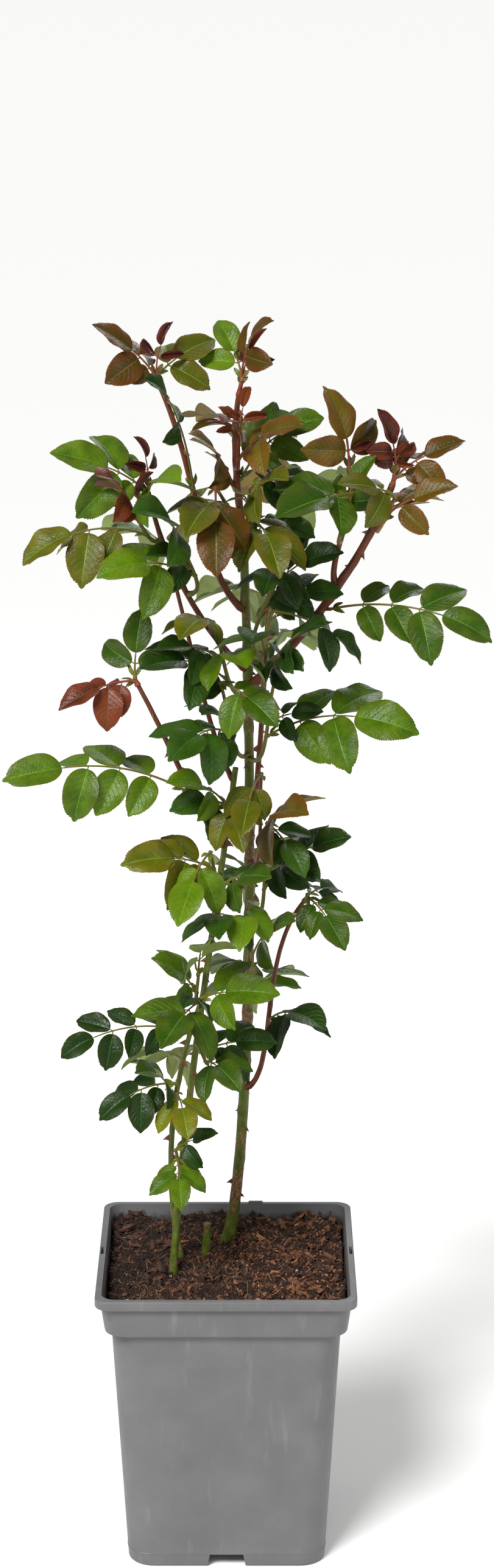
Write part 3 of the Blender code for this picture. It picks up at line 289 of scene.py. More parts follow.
class Limb:
    """A cane or a bough: a cubic curve from its start to its tip, tapering evenly."""

    def __init__(self, start, first_way, reach_in, tip, last_way, radius, tip_radius, seat_way=None):
        start = np.asarray(start, float)
        tip = np.asarray(tip, float)
        span = np.linalg.norm(tip - start)
        self.knots = (start, start + first_way * reach_in * span, tip - last_way * REACH * span, tip)
        self.seat_way = first_way if seat_way is None else seat_way
        self.radii = (radius, tip_radius)
        self.length = span

    def point(self, place):
        """Point at a place from 0 to 1, by the cubic's own rule."""
        t = np.asarray(place, float)[..., None]
        a, b, c, d = self.knots
        return a * (1 - t) ** 3 + b * 3 * t * (1 - t) ** 2 + c * 3 * t * t * (1 - t) + d * t ** 3

    def way(self, place):
        """Unit vector along the limb at a place."""
        near = np.clip(place, 0.002, 0.998)
        return unit(self.point(near + 0.002) - self.point(near - 0.002))

    def radius(self, place):
        """Radius at a place."""
        return self.radii[0] + (self.radii[1] - self.radii[0]) * np.asarray(place, float)


def leave(carrier, place, towards):
    """Where something rooted on a limb starts, and the way it leaves: on from a tip, else squarely."""
    way = carrier.way(place)
    base = carrier.point(place)
    if place >= 1.0:
        return base + way * CLEAR, way
    aim = towards - way * np.dot(towards, way)
    out = unit(aim)
    return base + out * (carrier.radius(place) + CLEAR), out


def grow_limbs():
    """Every cane and bough by name."""
    limbs = {}
    for name, (foot, lean, tip, last, radius, thin) in STEMS.items():
        start = (foot[0], foot[1], SOIL_TOP + CLEAR)
        up = np.array([0.0, 0.0, 1.0])
        limbs[name] = Limb(start, heading(*lean[:2]), lean[2], tip, heading(*last), radius, thin, up)
    for name, (carrier, place, tip, last, radius, thin) in BOUGHS.items():
        towards = np.array(tip) - limbs[carrier].point(place)
        start, out = leave(limbs[carrier], place, towards)
        first = out if place >= 1.0 else unit(out + SLANT * limbs[carrier].way(place))
        limbs[name] = Limb(start, first, BOUGH_REACH, tip, heading(*last), radius, thin, out)
    return limbs


def limb_mesh(limb, sides):
    """The limb as a tube: rings closer together at its foot, where it turns off its carrier."""
    count = max(5, int(limb.length / RING_GAP) + 2)
    places = np.linspace(0.0, 1.0, count) ** RING_CROWDING
    ways = limb.way(places)
    ways[0] = limb.seat_way
    return tube(limb.point(places), ways, limb.radius(places), sides)


def blade_outline(t):
    """Half width of a leaflet over its greatest half width: round at the foot, pointed at the tip."""
    return 2.57 * t ** 0.57 * (1 - t) ** 0.83


class Leaflet:
    """One blade: root on the stalk, own axes, length, and how it folds, arches and twists."""

    def __init__(self, root, way, up, length, rng):
        self.root = root
        self.way = way
        self.up = unit(up - way * np.dot(up, way))
        self.length = length
        self.fold = math.radians(rng.uniform(*FOLD))
        self.arch = math.radians(rng.uniform(*ARCH))
        self.twist = math.radians(rng.uniform(*TWIST))
        self.width = length * BLADE_WIDTH * rng.uniform(0.92, 1.06)

    def scale(self, size):
        """Make the blade smaller in its place."""
        self.length *= size
        self.width *= size

    def axes(self, t):
        """Midrib point, side and up vectors at places t: an arc that bends down as it goes out."""
        t = np.asarray(t, float)[..., None]
        a = self.arch
        mid = self.root + self.way * PETIOLULE + self.length * (
            self.way * np.sin(a * t) / a - self.up * (1 - np.cos(a * t)) / a)
        way = self.way * np.cos(a * t) - self.up * np.sin(a * t)
        up = self.way * np.sin(a * t) + self.up * np.cos(a * t)
        side = np.cross(way, up)
        turn = self.twist * t
        return (mid, side * np.cos(turn) + up * np.sin(turn), up * np.cos(turn) - side * np.sin(turn))

    def point(self, t, u):
        """Point of the blade's middle surface at t along it and u across it, from -1 to 1."""
        mid, side, up = self.axes(t)
        u = np.asarray(u, float)[..., None]
        half = (blade_outline(np.asarray(t, float)) * self.width / 2)[..., None]
        return mid + half * (u * math.cos(self.fold) * side + np.abs(u) * math.sin(self.fold) * up)


BLADE_STATIONS = np.array((0.26, 0.71))


def station_points(leaflet, swell=0.0):
    """Four points round the blade at each station (left rim, top, right rim, under), and its tip."""
    count = len(BLADE_STATIONS)
    mid, side, up = leaflet.axes(BLADE_STATIONS)
    left = leaflet.point(BLADE_STATIONS, -np.ones(count)) - side * swell
    right = leaflet.point(BLADE_STATIONS, np.ones(count)) + side * swell
    thick = (BLADE_HALF_THICK + swell) * up
    rings = np.stack([left, mid + thick, right, mid - thick], axis=1)
    return rings.reshape(-1, 3), leaflet.axes(1.0)[0] + leaflet.way * swell


def blade_faces(first, tip):
    """Faces between stations of four points that start at index `first`, closed at the tip."""
    faces = []
    for a in range(first, tip - 4, 4):
        for i in (0, 2):  # diagonals run alike on both faces
            j, k = i + 1, (i + 2) % 4
            faces += [(a + i, a + j, a + 4 + i), (a + j, a + 4 + j, a + 4 + i),
                      (a + j, a + k, a + 4 + k), (a + j, a + 4 + k, a + 4 + j)]
    return faces + [(tip - 4 + i, tip - 4 + (i + 1) % 4, tip) for i in range(4)]


def test_blade(leaflet):
    """The blade a little swollen, closed near its foot, for tests of what it would touch."""
    rings, tip = station_points(leaflet, TEST_SWELL)
    foot = leaflet.axes(0.04)[0]
    points = np.vstack([foot, rings, tip])
    faces = [(0, 1 + (i + 1) % 4, 1 + i) for i in range(4)]
    return points, faces + blade_faces(1, len(points) - 1)


class Leaf:
    """A compound leaf: a stalk that arcs down, leaflets in pairs along it and one at its end."""

    def __init__(self, start, out, azimuth, rise, row, rng):
        reach, count, blade, hang, self.tint = row[2:]
        bend = math.radians(rng.uniform(*BEND) + 20 * hang)
        light = rng.uniform(1.7, 2.5) - 1.4 * hang
        self.start = start
        self.out = out
        self.azimuth = math.radians(azimuth)
        self.rise = math.radians(rise)
        self.bend = bend
        last = blade * rng.uniform(0.95, 1.05)
        self.whole = max(reach * (bend / 2) / math.sin(bend / 2), last * (1 + LEAST_STALK[count]))
        self.stalk = self.whole - last
        back = start[1] + reach * math.cos(self.rise) * math.sin(self.azimuth) > BACK_FROM
        self.lean = light * heading(90 if back else -90, LIGHT_RISE)
        self.pairs = PAIR_PLACES[count]
        self.sides = {}
        for pair, (place, size) in enumerate(zip(self.pairs, PAIR_SIZES[count])):
            root, way, up = self.axes(place)
            for hand in (1, -1):
                spread = math.radians(rng.uniform(*SPREAD))
                droop = math.radians(rng.uniform(*DROOP))
                side = np.cross(way, up) * hand
                go = way * math.cos(spread) + side * math.sin(spread)
                go = go * math.cos(droop) - up * math.sin(droop)
                go = unit(go - np.array([0, 0, hang * rng.uniform(0.4, 0.9)]))
                tilt = unit(up + side * rng.uniform(-0.25, 0.1))
                length = last * size * rng.uniform(0.93, 1.05)
                self.sides[pair, hand] = Leaflet(root, go, tilt, length, rng)
        root, way, up = self.axes(1.0)
        self.end = Leaflet(root, way, up, last - PETIOLULE, rng)

    def axes(self, place):
        """Stalk point, its way and its upper side at a place from 0 to 1."""
        s = place * self.stalk
        a = self.bend / self.whole
        top = self.rise + self.bend / 2
        now = top - a * s
        flat = np.array([math.cos(self.azimuth), math.sin(self.azimuth), 0.0])
        point = (self.start + flat * (math.sin(top) - math.sin(now)) / a
                 + np.array([0, 0, 1.0]) * (math.cos(now) - math.cos(top)) / a)
        way = flat * math.cos(now) + np.array([0, 0, math.sin(now)])
        level = np.array([math.sin(self.azimuth), -math.cos(self.azimuth), 0.0])
        up = np.cross(level, way) + self.lean
        return point, way, unit(up - way * np.dot(up, way))

    def line(self, places):
        """Points of the stalk and its ways at places; at its very foot, the way that it leaves."""
        path, ways = (np.array(rows) for rows in list(zip(*map(self.axes, places)))[:2])
        if places[0] == 0.0:
            ways[0] = self.out
        return path, ways

    def leaflets(self):
        """All its leaflets, the last one first."""
        return [self.end] + [self.sides[key] for key in sorted(self.sides)]

    def rings(self):
        """Places of the stalk's rings: its foot, one on the way, and two at each pair."""
        half = NECK_LENGTH / self.stalk / 2
        places = [0.0, self.pairs[0] * 0.5]
        for place in self.pairs:
            places += [place - half, place + half]
        return places + [1.0]

    def stalk_ring(self, place, seat_way=None):
        """Four corners round the stalk: upper left, upper right, lower right, lower left."""
        point, way, up = self.axes(place)
        if seat_way is not None:
            way = seat_way
            up = unit(up - way * np.dot(up, way))
        half = (STALK_RADIUS + (STALK_TIP_RADIUS - STALK_RADIUS) * place) * math.sqrt(0.5)
        side = np.cross(way, up)
        return [point + half * (x * side + y * up) for x, y in ((-1, 1), (1, 1), (1, -1), (-1, -1))]


def neck_faces(quad, ring):
    """Eight faces from a square to the four points of a station, turned an eighth round."""
    a, b, c, d = quad
    left, top, right, under = ring
    return [(a, b, top), (b, right, top), (b, c, right), (c, under, right),
            (c, d, under), (d, left, under), (d, a, left), (a, top, left)]


def leaf_mesh(leaf):
    """The whole leaf as one closed skin: a square stalk whose sides run out into the leaflets."""
    places = leaf.rings()
    points = leaf.stalk_ring(places[0], leaf.out)
    for place in places[1:]:
        points += leaf.stalk_ring(place)
    faces = [(3, 2, 1, 0)]
    for ring in range(len(places) - 1):
        a, b = 4 * ring, 4 * ring + 4
        pair, at_pair = divmod(ring - 2, 2)
        here = ring >= 2 and at_pair == 0
        open_sides = {hand for hand in (1, -1) if here and (pair, hand) in leaf.sides}
        for i in range(4):
            j = (i + 1) % 4
            hand = {1: 1, 3: -1}.get(i)
            if hand not in open_sides:
                faces += [(a + i, a + j, b + j), (a + i, b + j, b + i)]
        for hand in sorted(open_sides):
            rings, tip = station_points(leaf.sides[pair, hand])
            first = len(points)
            points += list(rings) + [tip]
            if hand == 1:  # right side: its left rim is the far one
                quad = (b + 1, a + 1, a + 2, b + 2)
            else:
                quad = (a, b, b + 3, a + 3)
            faces += neck_faces(quad, range(first, first + 4)) + blade_faces(first, len(points) - 1)
    rings, tip = station_points(leaf.end)
    end = 4 * len(places) - 4
    first = len(points)
    points += list(rings) + [tip]
    faces += neck_faces(range(end, end + 4), range(first, first + 4))
    faces += blade_faces(first, len(points) - 1)
    return np.array(points), faces


class Neighbours:
    """All that stands already, as one search tree, to test new pieces against."""

    def __init__(self, pieces=()):
        self.points = []
        self.faces = []
        self.tree = None
        if pieces:
            self.add(pieces)

    def add(self, pieces):
        """Take in pieces of (points, faces) and build the tree again."""
        if not pieces:
            return
        for points, faces in pieces:
            shift = len(self.points)
            self.points += points.tolist()
            self.faces += [tuple(i + shift for i in face) for face in faces]
        self.tree = BVHTree.FromPolygons(self.points, self.faces)

    def touches(self, piece):
        """Whether a piece cuts anything that stands already."""
        points, faces = piece
        return bool(self.tree and self.tree.overlap(BVHTree.FromPolygons(points.tolist(), faces)))


def test_stalk(leaf, foot):
    """The stalk from the place `foot` on, for tests of what it would touch."""
    return tube(*leaf.line(np.linspace(foot, 1.0, 6)), np.full(6, STALK_RADIUS), 4)


def cuts(piece, groups):
    """Whether a piece cuts any of the groups of neighbours."""
    return any(group.touches(piece) for group in groups)


def place_leaf(start, out, row, seed, others, own):
    """Turn a leaf until it clears its neighbours and its own spray, and each leaflet the others.

    Side leaflets give way in size, are left out if they still touch, and so is a leaf with no
    room for its stalk.
    """
    best = None
    for turn, lift in TURNS:
        leaf = Leaf(start, out, row[0] + turn, row[1] + lift, row, np.random.default_rng(seed))
        end = test_blade(leaf.end)
        if (cuts(test_stalk(leaf, 0.0), others) or own.touches(test_stalk(leaf, 0.3))
                or cuts(end, others + [own])):
            continue
        kept = Neighbours([end])
        asked = len(leaf.sides)
        for key in sorted(leaf.sides, reverse=True):
            for size in SMALLER:
                leaf.sides[key].scale(size)
                blade = test_blade(leaf.sides[key])
                if not cuts(blade, others + [own, kept]):
                    kept.add([blade])
                    break
            else:
                del leaf.sides[key]
        if cuts(leaf_mesh(leaf), others):
            continue
        if best is None or len(leaf.sides) > len(best.sides):
            best = leaf
        if len(leaf.sides) == asked:
            break
    return best


def grow_shoots(limbs):
    """The short shoots that carry more than one leaf, by spray."""
    shoots = {}
    for name, (carrier, place, row, _) in SPRAYS.items():
        if row:
            way = heading(*row[:2])
            start, out = leave(limbs[carrier], place, way)
            shoots[name] = Limb(start, out, REACH, start + way * row[2], way, SHOOT_RADIUS, STALK_RADIUS)
    return shoots


def grow_leaves(index, name, limbs, shoots, others):
    """A spray's leaves, on its shoot or straight on its limb, as far as they clear the others."""
    carrier, place, _, leaf_rows = SPRAYS[name]
    shoot = shoots.get(name)
    own = Neighbours()
    leaves = []
    for i, row in enumerate(leaf_rows):
        way = heading(*row[:2])
        if shoot:
            start, out = shoot.point((i + 1) / len(leaf_rows) - 0.02), way
        else:
            start, out = leave(limbs[carrier], place, way)
        leaf = place_leaf(start, out, row, (SEED, index, i), others, own)
        if leaf:
            leaves.append(leaf)
            own.add([leaf_mesh(leaf)])
    return leaves


def grow_sprays(limbs, standing):
    """All leaves by spray: each spray in its turn keeps clear of all that stands before it."""
    shoots = grow_shoots(limbs)
    fences = {name: Neighbours([limb_mesh(shoot, 4)]) for name, shoot in shoots.items()}
    grown = {}
    for index, name in enumerate(SPRAYS):
        others = [standing] + [fence for spray, fence in fences.items() if spray != name]
        leaves = grow_leaves(index, name, limbs, shoots, others)
        grown[name] = (shoots.get(name), leaves)
        standing.add([leaf_mesh(leaf) for leaf in leaves])
    return grown


def body_half(z):
    """Half the outer width of the pot's body at a height."""
    step = POT_HEIGHT - LIP_HEIGHT - COLLAR_HEIGHT - STEP_HEIGHT
    return FOOT_HALF + (SHOULDER_HALF - FOOT_HALF) * z / step


def inner_rows(gap, top):
    """Rows of the pot's inside, `gap` in from its wall, up to the height `top`."""
    shoulder = POT_HEIGHT - LIP_HEIGHT - COLLAR_HEIGHT - STEP_HEIGHT
    collar = POT_HEIGHT - LIP_HEIGHT - COLLAR_HEIGHT
    inside = WALL + gap
    rows = [(body_half(0.004) - inside - 0.002, BODY_CORNER - inside, FLOOR + gap),
            (body_half(0.006) - inside, BODY_CORNER - inside, FLOOR + gap + 0.0025),
            (SHOULDER_HALF - inside, BODY_CORNER - inside, shoulder + 0.001),
            (COLLAR_FOOT_HALF - inside, RIM_CORNER, collar + 0.001)]
    rise = (top - collar) / (POT_HEIGHT - collar)
    last = COLLAR_FOOT_HALF + (RIM_HALF - LIP_WALL + WALL - COLLAR_FOOT_HALF) * rise
    rows.append((last - inside, RIM_CORNER, top))
    return rows


def thorn_frame(limb, place, azimuth):
    """A thorn's three axes: along the limb, across it, and out of it towards an azimuth."""
    way = limb.way(place)
    side = unit(np.cross(way, heading(azimuth, 5)))
    return way, side, unit(np.cross(side, way))


def thorn(limb, place, azimuth):
    """Small four-sided thorn that stands out of a limb and leans back down it."""
    way, side, out = thorn_frame(limb, place, azimuth)
    radius = limb.radius(place)
    base = limb.point(place) + out * radius * 0.5
    tip = limb.point(place) + out * (radius + THORN_LENGTH) - way * THORN_LENGTH * 0.45
    points = [base + way * THORN_HALF * 1.5, base + side * THORN_HALF * 0.6,
              base - way * THORN_HALF * 1.5, base - side * THORN_HALF * 0.6, tip]
    faces = [(0, 1, 2, 3), (1, 0, 4), (2, 1, 4), (3, 2, 4), (0, 3, 4)]
    return np.array(points), faces


def limb_thorns(limb):
    """Thorns at an even spacing round a limb, each turned on from the last."""
    if limb.radii[0] < THORN_LEAST_RADIUS or limb.length < THORN_LEAST_LENGTH:
        return []
    count = int(limb.length / THORN_SPACING)
    return [thorn(limb, (i + 0.6) / (count + 0.5), GOLDEN * i + 40) for i in range(count)]


def pot_block():
    """The pot's outer form as a plain box of points and faces, for tests of what would touch it."""
    points = [(i * RIM_HALF, j * RIM_HALF, z) for z in (0.0, POT_HEIGHT)
              for i, j in ((-1, -1), (1, -1), (1, 1), (-1, 1))]
    walls = [(i, (i + 1) % 4, 4 + (i + 1) % 4, 4 + i) for i in range(4)]
    return np.array(points), [(3, 2, 1, 0), (4, 5, 6, 7)] + walls


# ---------- colours and helpers

def srgb(code):
    """Linear red, green and blue from an sRGB hex value."""
    parts = [int(code[i:i + 2], 16) / 255 for i in (0, 2, 4)]
    return tuple(p / 12.92 if p <= 0.04045 else ((p + 0.055) / 1.055) ** 2.4 for p in parts)


def paint(code):
    """The colour with full alpha, as a shader's socket takes it."""
    return (*srgb(code), 1.0)


def add_node(tree, kind, inputs=None, out=None, **settings):
    """Add one shader node and give its output: the one named `out`, or the first that is on.

    `settings` are its properties, and `inputs` gives its sockets a value, an sRGB hex value or
    another node's output. A Mix node mixes colours.
    """
    node = tree.nodes.new("ShaderNode" + kind)
    if kind == "Mix":
        node.data_type = "RGBA"
    for key, value in settings.items():
        setattr(node, key, value)
    for key, value in (inputs or {}).items():
        if isinstance(value, bpy.types.NodeSocket):
            tree.links.new(value, node.inputs[key])
        else:
            node.inputs[key].default_value = paint(value) if isinstance(value, str) else value
    return node.outputs[out] if out else next(one for one in node.outputs if one.enabled)


def new_material(name, **constants):
    """Principled material, constants on its own sockets: gives it, add_node on its tree, its shader."""
    made = bpy.data.materials.new(name)
    made.use_nodes = True
    shader = made.node_tree.nodes["Principled BSDF"]
    for key, value in constants.items():
        shader.inputs[key.replace("_", " ")].default_value = value
    return made, functools.partial(add_node, made.node_tree), shader


def make_piece(name, points, quads, triangles, finishes, finish_of=None, uv=None, tone=None,
               creases=None, smooth=True):
    """Mesh object from arrays: points, then quads, then triangles, with a finish index for each face.

    `uv` is a place for each face corner, `tone` a number for each point, and `creases` marks the
    points between which an edge stays sharp.
    """
    quads = np.asarray(quads, np.int32).reshape(-1, 4)
    triangles = np.asarray(triangles, np.int32).reshape(-1, 3)
    corners = np.concatenate([quads.ravel(), triangles.ravel()])
    starts = np.concatenate([np.arange(len(quads)) * 4, len(quads) * 4 + np.arange(len(triangles)) * 3])
    mesh = bpy.data.meshes.new(name)
    mesh.vertices.add(len(points))
    mesh.vertices.foreach_set("co", np.asarray(points, np.float32).ravel())
    mesh.loops.add(len(corners))
    mesh.loops.foreach_set("vertex_index", corners.astype(np.int32))
    mesh.polygons.add(len(starts))
    mesh.polygons.foreach_set("loop_start", starts.astype(np.int32))
    for finish in finishes:
        mesh.materials.append(finish)
    if finish_of is not None:
        mesh.polygons.foreach_set("material_index", np.asarray(finish_of, np.int32))
    mesh.update(calc_edges=True)
    mesh.polygons.foreach_set("use_smooth", np.full(len(starts), smooth))
    if uv is not None:
        layer = mesh.uv_layers.new(name="along")
        layer.data.foreach_set("uv", np.asarray(uv, np.float32).ravel())
    if tone is not None:
        mesh.attributes.new("tone", "FLOAT", "POINT").data.foreach_set(
            "value", np.asarray(tone, np.float32))
    if creases is not None:
        ends = np.zeros(len(mesh.edges) * 2, np.int32)
        mesh.edges.foreach_get("vertices", ends)
        marked = np.asarray(creases)[ends.reshape(-1, 2)].all(axis=1)
        mesh.attributes.new("sharp_edge", "BOOLEAN", "EDGE").data.foreach_set("value", marked)
    mesh.validate()
    made = bpy.data.objects.new(name, mesh)
    bpy.context.scene.collection.objects.link(made)
    return made


def stand_for(piece, slot, *nodes):
    """The piece rides on the plant's only body and stands for these solids."""
    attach(piece, "root")
    if nodes:
        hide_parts(*nodes)


def grid_faces(rows, columns, closed):
    """Quads of a grid of points, row by row; `closed` joins each row's last column to its first."""
    across = columns if closed else columns - 1
    row, column = np.meshgrid(np.arange(rows - 1), np.arange(across), indexing="ij")
    following = (column + 1) % columns
    quads = np.stack([row * columns + column, row * columns + following,
                      (row + 1) * columns + following, (row + 1) * columns + column], axis=-1)
    return quads.reshape(-1, 4)


def soft_noise(along, turn, seed, coarse):
    """Smooth noise over a tube: a sum of sines of whole turns, `coarse` waves a metre along it."""
    rng = np.random.default_rng(seed)
    total = 0.0
    for turns in (1, 2, 3, 5, 8):
        for _ in range(2):
            waves = coarse * rng.uniform(0.5, 1.6) * (1 + 0.3 * turns)
            total = total + np.sin(turns * turn + 2 * math.pi * (waves * along + rng.uniform())) / turns
    return total / 3.0


def distances(path):
    """Distance of each point of a path from its first, along it."""
    return np.concatenate([[0.0], np.cumsum(np.linalg.norm(np.diff(path, axis=0), axis=1))])


def closed_tube(path, ways, radii, sides):
    """Tube with a point closing each end: points, quads, triangles, and a uv for each corner.

    `radii` is one radius for each ring, or one for each ring and side. u runs once round the tube
    and v along it in metres.
    """
    count = len(path)
    turn = np.arange(sides) * 2 * math.pi / sides
    radii = np.broadcast_to(np.asarray(radii).reshape(count, -1), (count, sides))
    rings = tube_points(path, ways, radii, turn).reshape(-1, 3)
    points = np.vstack([rings, path[0], path[-1]])
    quads = grid_faces(count, sides, True)
    side = np.arange(sides)
    first, last = len(rings), len(rings) + 1
    foot = np.stack([np.full(sides, first), (side + 1) % sides, side], axis=1)
    tip = np.stack([np.full(sides, last), (count - 1) * sides + side,
                    (count - 1) * sides + (side + 1) % sides], axis=1)
    reach = distances(path)
    row, column = np.divmod(np.arange(len(quads)), sides)
    u = np.stack([column, column + 1, column + 1, column], axis=1) / sides
    v = np.stack([reach[row], reach[row], reach[row + 1], reach[row + 1]], axis=1)
    cap_u = np.stack([side + 0.5, side + 1.0, side], axis=1) / sides
    uv = np.concatenate([np.stack([u, v], axis=-1).reshape(-1, 2),
                         np.stack([cap_u, np.full((sides, 3), 0.0)], axis=-1).reshape(-1, 2),
                         np.stack([cap_u, np.full((sides, 3), reach[-1])], axis=-1).reshape(-1, 2)])
    return points, quads, np.vstack([foot, tip]), uv


def join_tubes(tubes):
    """Many closed tubes as one set of arrays, in the order that make_piece takes."""
    shift = np.concatenate([[0], np.cumsum([len(t[0]) for t in tubes])])
    points = np.vstack([t[0] for t in tubes])
    quads = np.vstack([t[1] + s for t, s in zip(tubes, shift)])
    triangles = np.vstack([t[2] + s for t, s in zip(tubes, shift)])
    uv = np.vstack([t[3][:4 * len(t[1])] for t in tubes] + [t[3][4 * len(t[1]):] for t in tubes])
    return points, quads, triangles, uv


# ---------- the plant, grown once

PLANT = {}


def plant():
    """Limbs and sprays by name, grown by the solids' own rule and seed, and every leaf to make."""
    if not PLANT:
        limbs = grow_limbs()
        pieces = [pot_block()]
        for limb in limbs.values():
            pieces += [limb_mesh(limb, 8 if limb.radii[0] > STOUT_RADIUS else 6)] + limb_thorns(limb)
        standing = Neighbours(pieces)
        sprays = grow_sprays(limbs, standing)
        finer = grow_inner(sprays, standing) + grow_young(limbs, sprays)
        leaves = [(name, leaf) for name, (_, own) in sprays.items() for leaf in own]
        PLANT.update(limbs=limbs, sprays=sprays, leaves=leaves + finer)
    return PLANT["limbs"], PLANT["sprays"], PLANT["leaves"]


# Inner leaves, smaller than a spray's own: leaflets, last leaflet's length, reach, hang
INNER = ((5, 0.031, 0.06, 0.5), (3, 0.034, 0.05, 0.3), (5, 0.027, 0.052, 0.6), (3, 0.028, 0.044, 0.4))
INNER_PLACES = (0.3, 0.62)  # along a shoot, the second only on long ones
INNER_SHOOTS = (0.02, 0.045)  # shoots this long bear one, and two
INNER_WAYS = ((0, 12), (75, 20), (-75, 20), (150, 5), (-150, 5), (40, -15), (-40, -15))
INNER_MARGIN = 0.003  # how far an inner leaf may pass its spray's own box
INNER_MOST = 130  # leaflets on inner leaves, at most

# Shoots and boughs that end in a tuft of young leaves, still folded: how many leaves
YOUNG = {"top_left_end": 1, "crown_front": 2, "right_side_end": 1, "right_end": 2, "left_end": 1,
         "left_outer": 1, "crown_end": 1}
YOUNG_SIZES = (0.022, 0.015)
YOUNG_FOLD = (38, 58)  # degrees


def spray_box(leaves):
    """Lowest and highest corners round a spray's own leaves."""
    points = np.vstack([leaf_mesh(leaf)[0] for leaf in leaves])
    return points.min(axis=0) - INNER_MARGIN, points.max(axis=0) + INNER_MARGIN


def grow_inner(sprays, standing):
    """Smaller leaves between each spray's own, inside its box and clear of all that stands."""
    grown = []
    inner = Neighbours()
    total = 0
    for index, (name, (shoot, leaves)) in enumerate(sprays.items()):
        if not shoot or shoot.length < INNER_SHOOTS[0]:
            continue
        low, high = spray_box(leaves)
        for i, place in enumerate(INNER_PLACES[:1 if shoot.length < INNER_SHOOTS[1] else 2]):
            count, blade, reach, hang = INNER[(index + i) % len(INNER)]
            towards = math.degrees(leaves[0].azimuth)
            for turn, rise in INNER_WAYS:
                row = (towards + turn, rise, reach, count, blade, hang,
                       "olive" if leaves[0].tint in ("olive", "bronze") and i else "dark")
                foot, out = leave(shoot, place, heading(*row[:2]))
                leaf = place_leaf(foot, out, row, (SEED, index, 50 + i), [standing, inner], Neighbours())
                if leaf is None or len(leaf.sides) < count - 2:
                    continue
                points = leaf_mesh(leaf)[0]
                if (points > low).all() and (points < high).all():
                    break
            else:
                continue
            total += 1 + len(leaf.sides)
            if total > INNER_MOST:
                return grown
            inner.add([leaf_mesh(leaf)])
            grown.append((name, leaf))
    return grown


def grow_young(limbs, sprays):
    """A tuft of small red leaves, half unfolded, at the end of each shoot that still grows."""
    grown = []
    for index, (name, count) in enumerate(YOUNG.items()):
        carrier = SPRAYS[name][0]
        grower = sprays[name][0] or limbs[carrier]
        end, way = grower.point(1.0), grower.way(1.0)
        for i in range(count):
            rng = np.random.default_rng((SEED, index, 80 + i))
            blade = YOUNG_SIZES[i]
            row = (GOLDEN * i + 60 * index, rng.uniform(48, 74), blade * 1.9, 3, blade, 0.25, "red")
            leaf = Leaf(end, way, row[0], row[1], row, rng)
            for one in leaf.leaflets():
                one.fold = math.radians(rng.uniform(*YOUNG_FOLD))
                one.width *= 0.85
            grown.append((name, leaf))
    return grown


# ---------- finishes

# Sizes of the finishes' patterns
LEAF_BLOTCH = 0.012
LEAF_NETTING = 0.0024  # mesh of the finest veins
UNDER_BLOTCH = 0.008
UNDER_NETTING = 0.0018
WOOD_STREAKS = (6, 90)  # to a turn round a cane, and to a metre along it
WOOD_CRACKS = (16, 300)
WOOD_BLOTCH = 0.007
WOOD_GRAIN = 0.0009
DAMP_PATCHES = 0.05
PLASTIC_BLOOM = 0.045
PLASTIC_SCUFFS = 0.0016
PLASTIC_GRAIN = 0.0008
PLASTIC_RUNS = 0.011  # stains that ran down the wall
PLASTIC_SPECKS = 0.004


def finish_with(shader, colour, height, strength, distance):
    """Give a shader its colour and a bump of this height, `distance` deep in metres."""
    links = shader.id_data.links
    normal = add_node(shader.id_data, "Bump",
                      {"Height": height, "Strength": strength, "Distance": distance})
    links.new(colour, shader.inputs["Base Color"])
    links.new(normal, shader.inputs["Normal"])


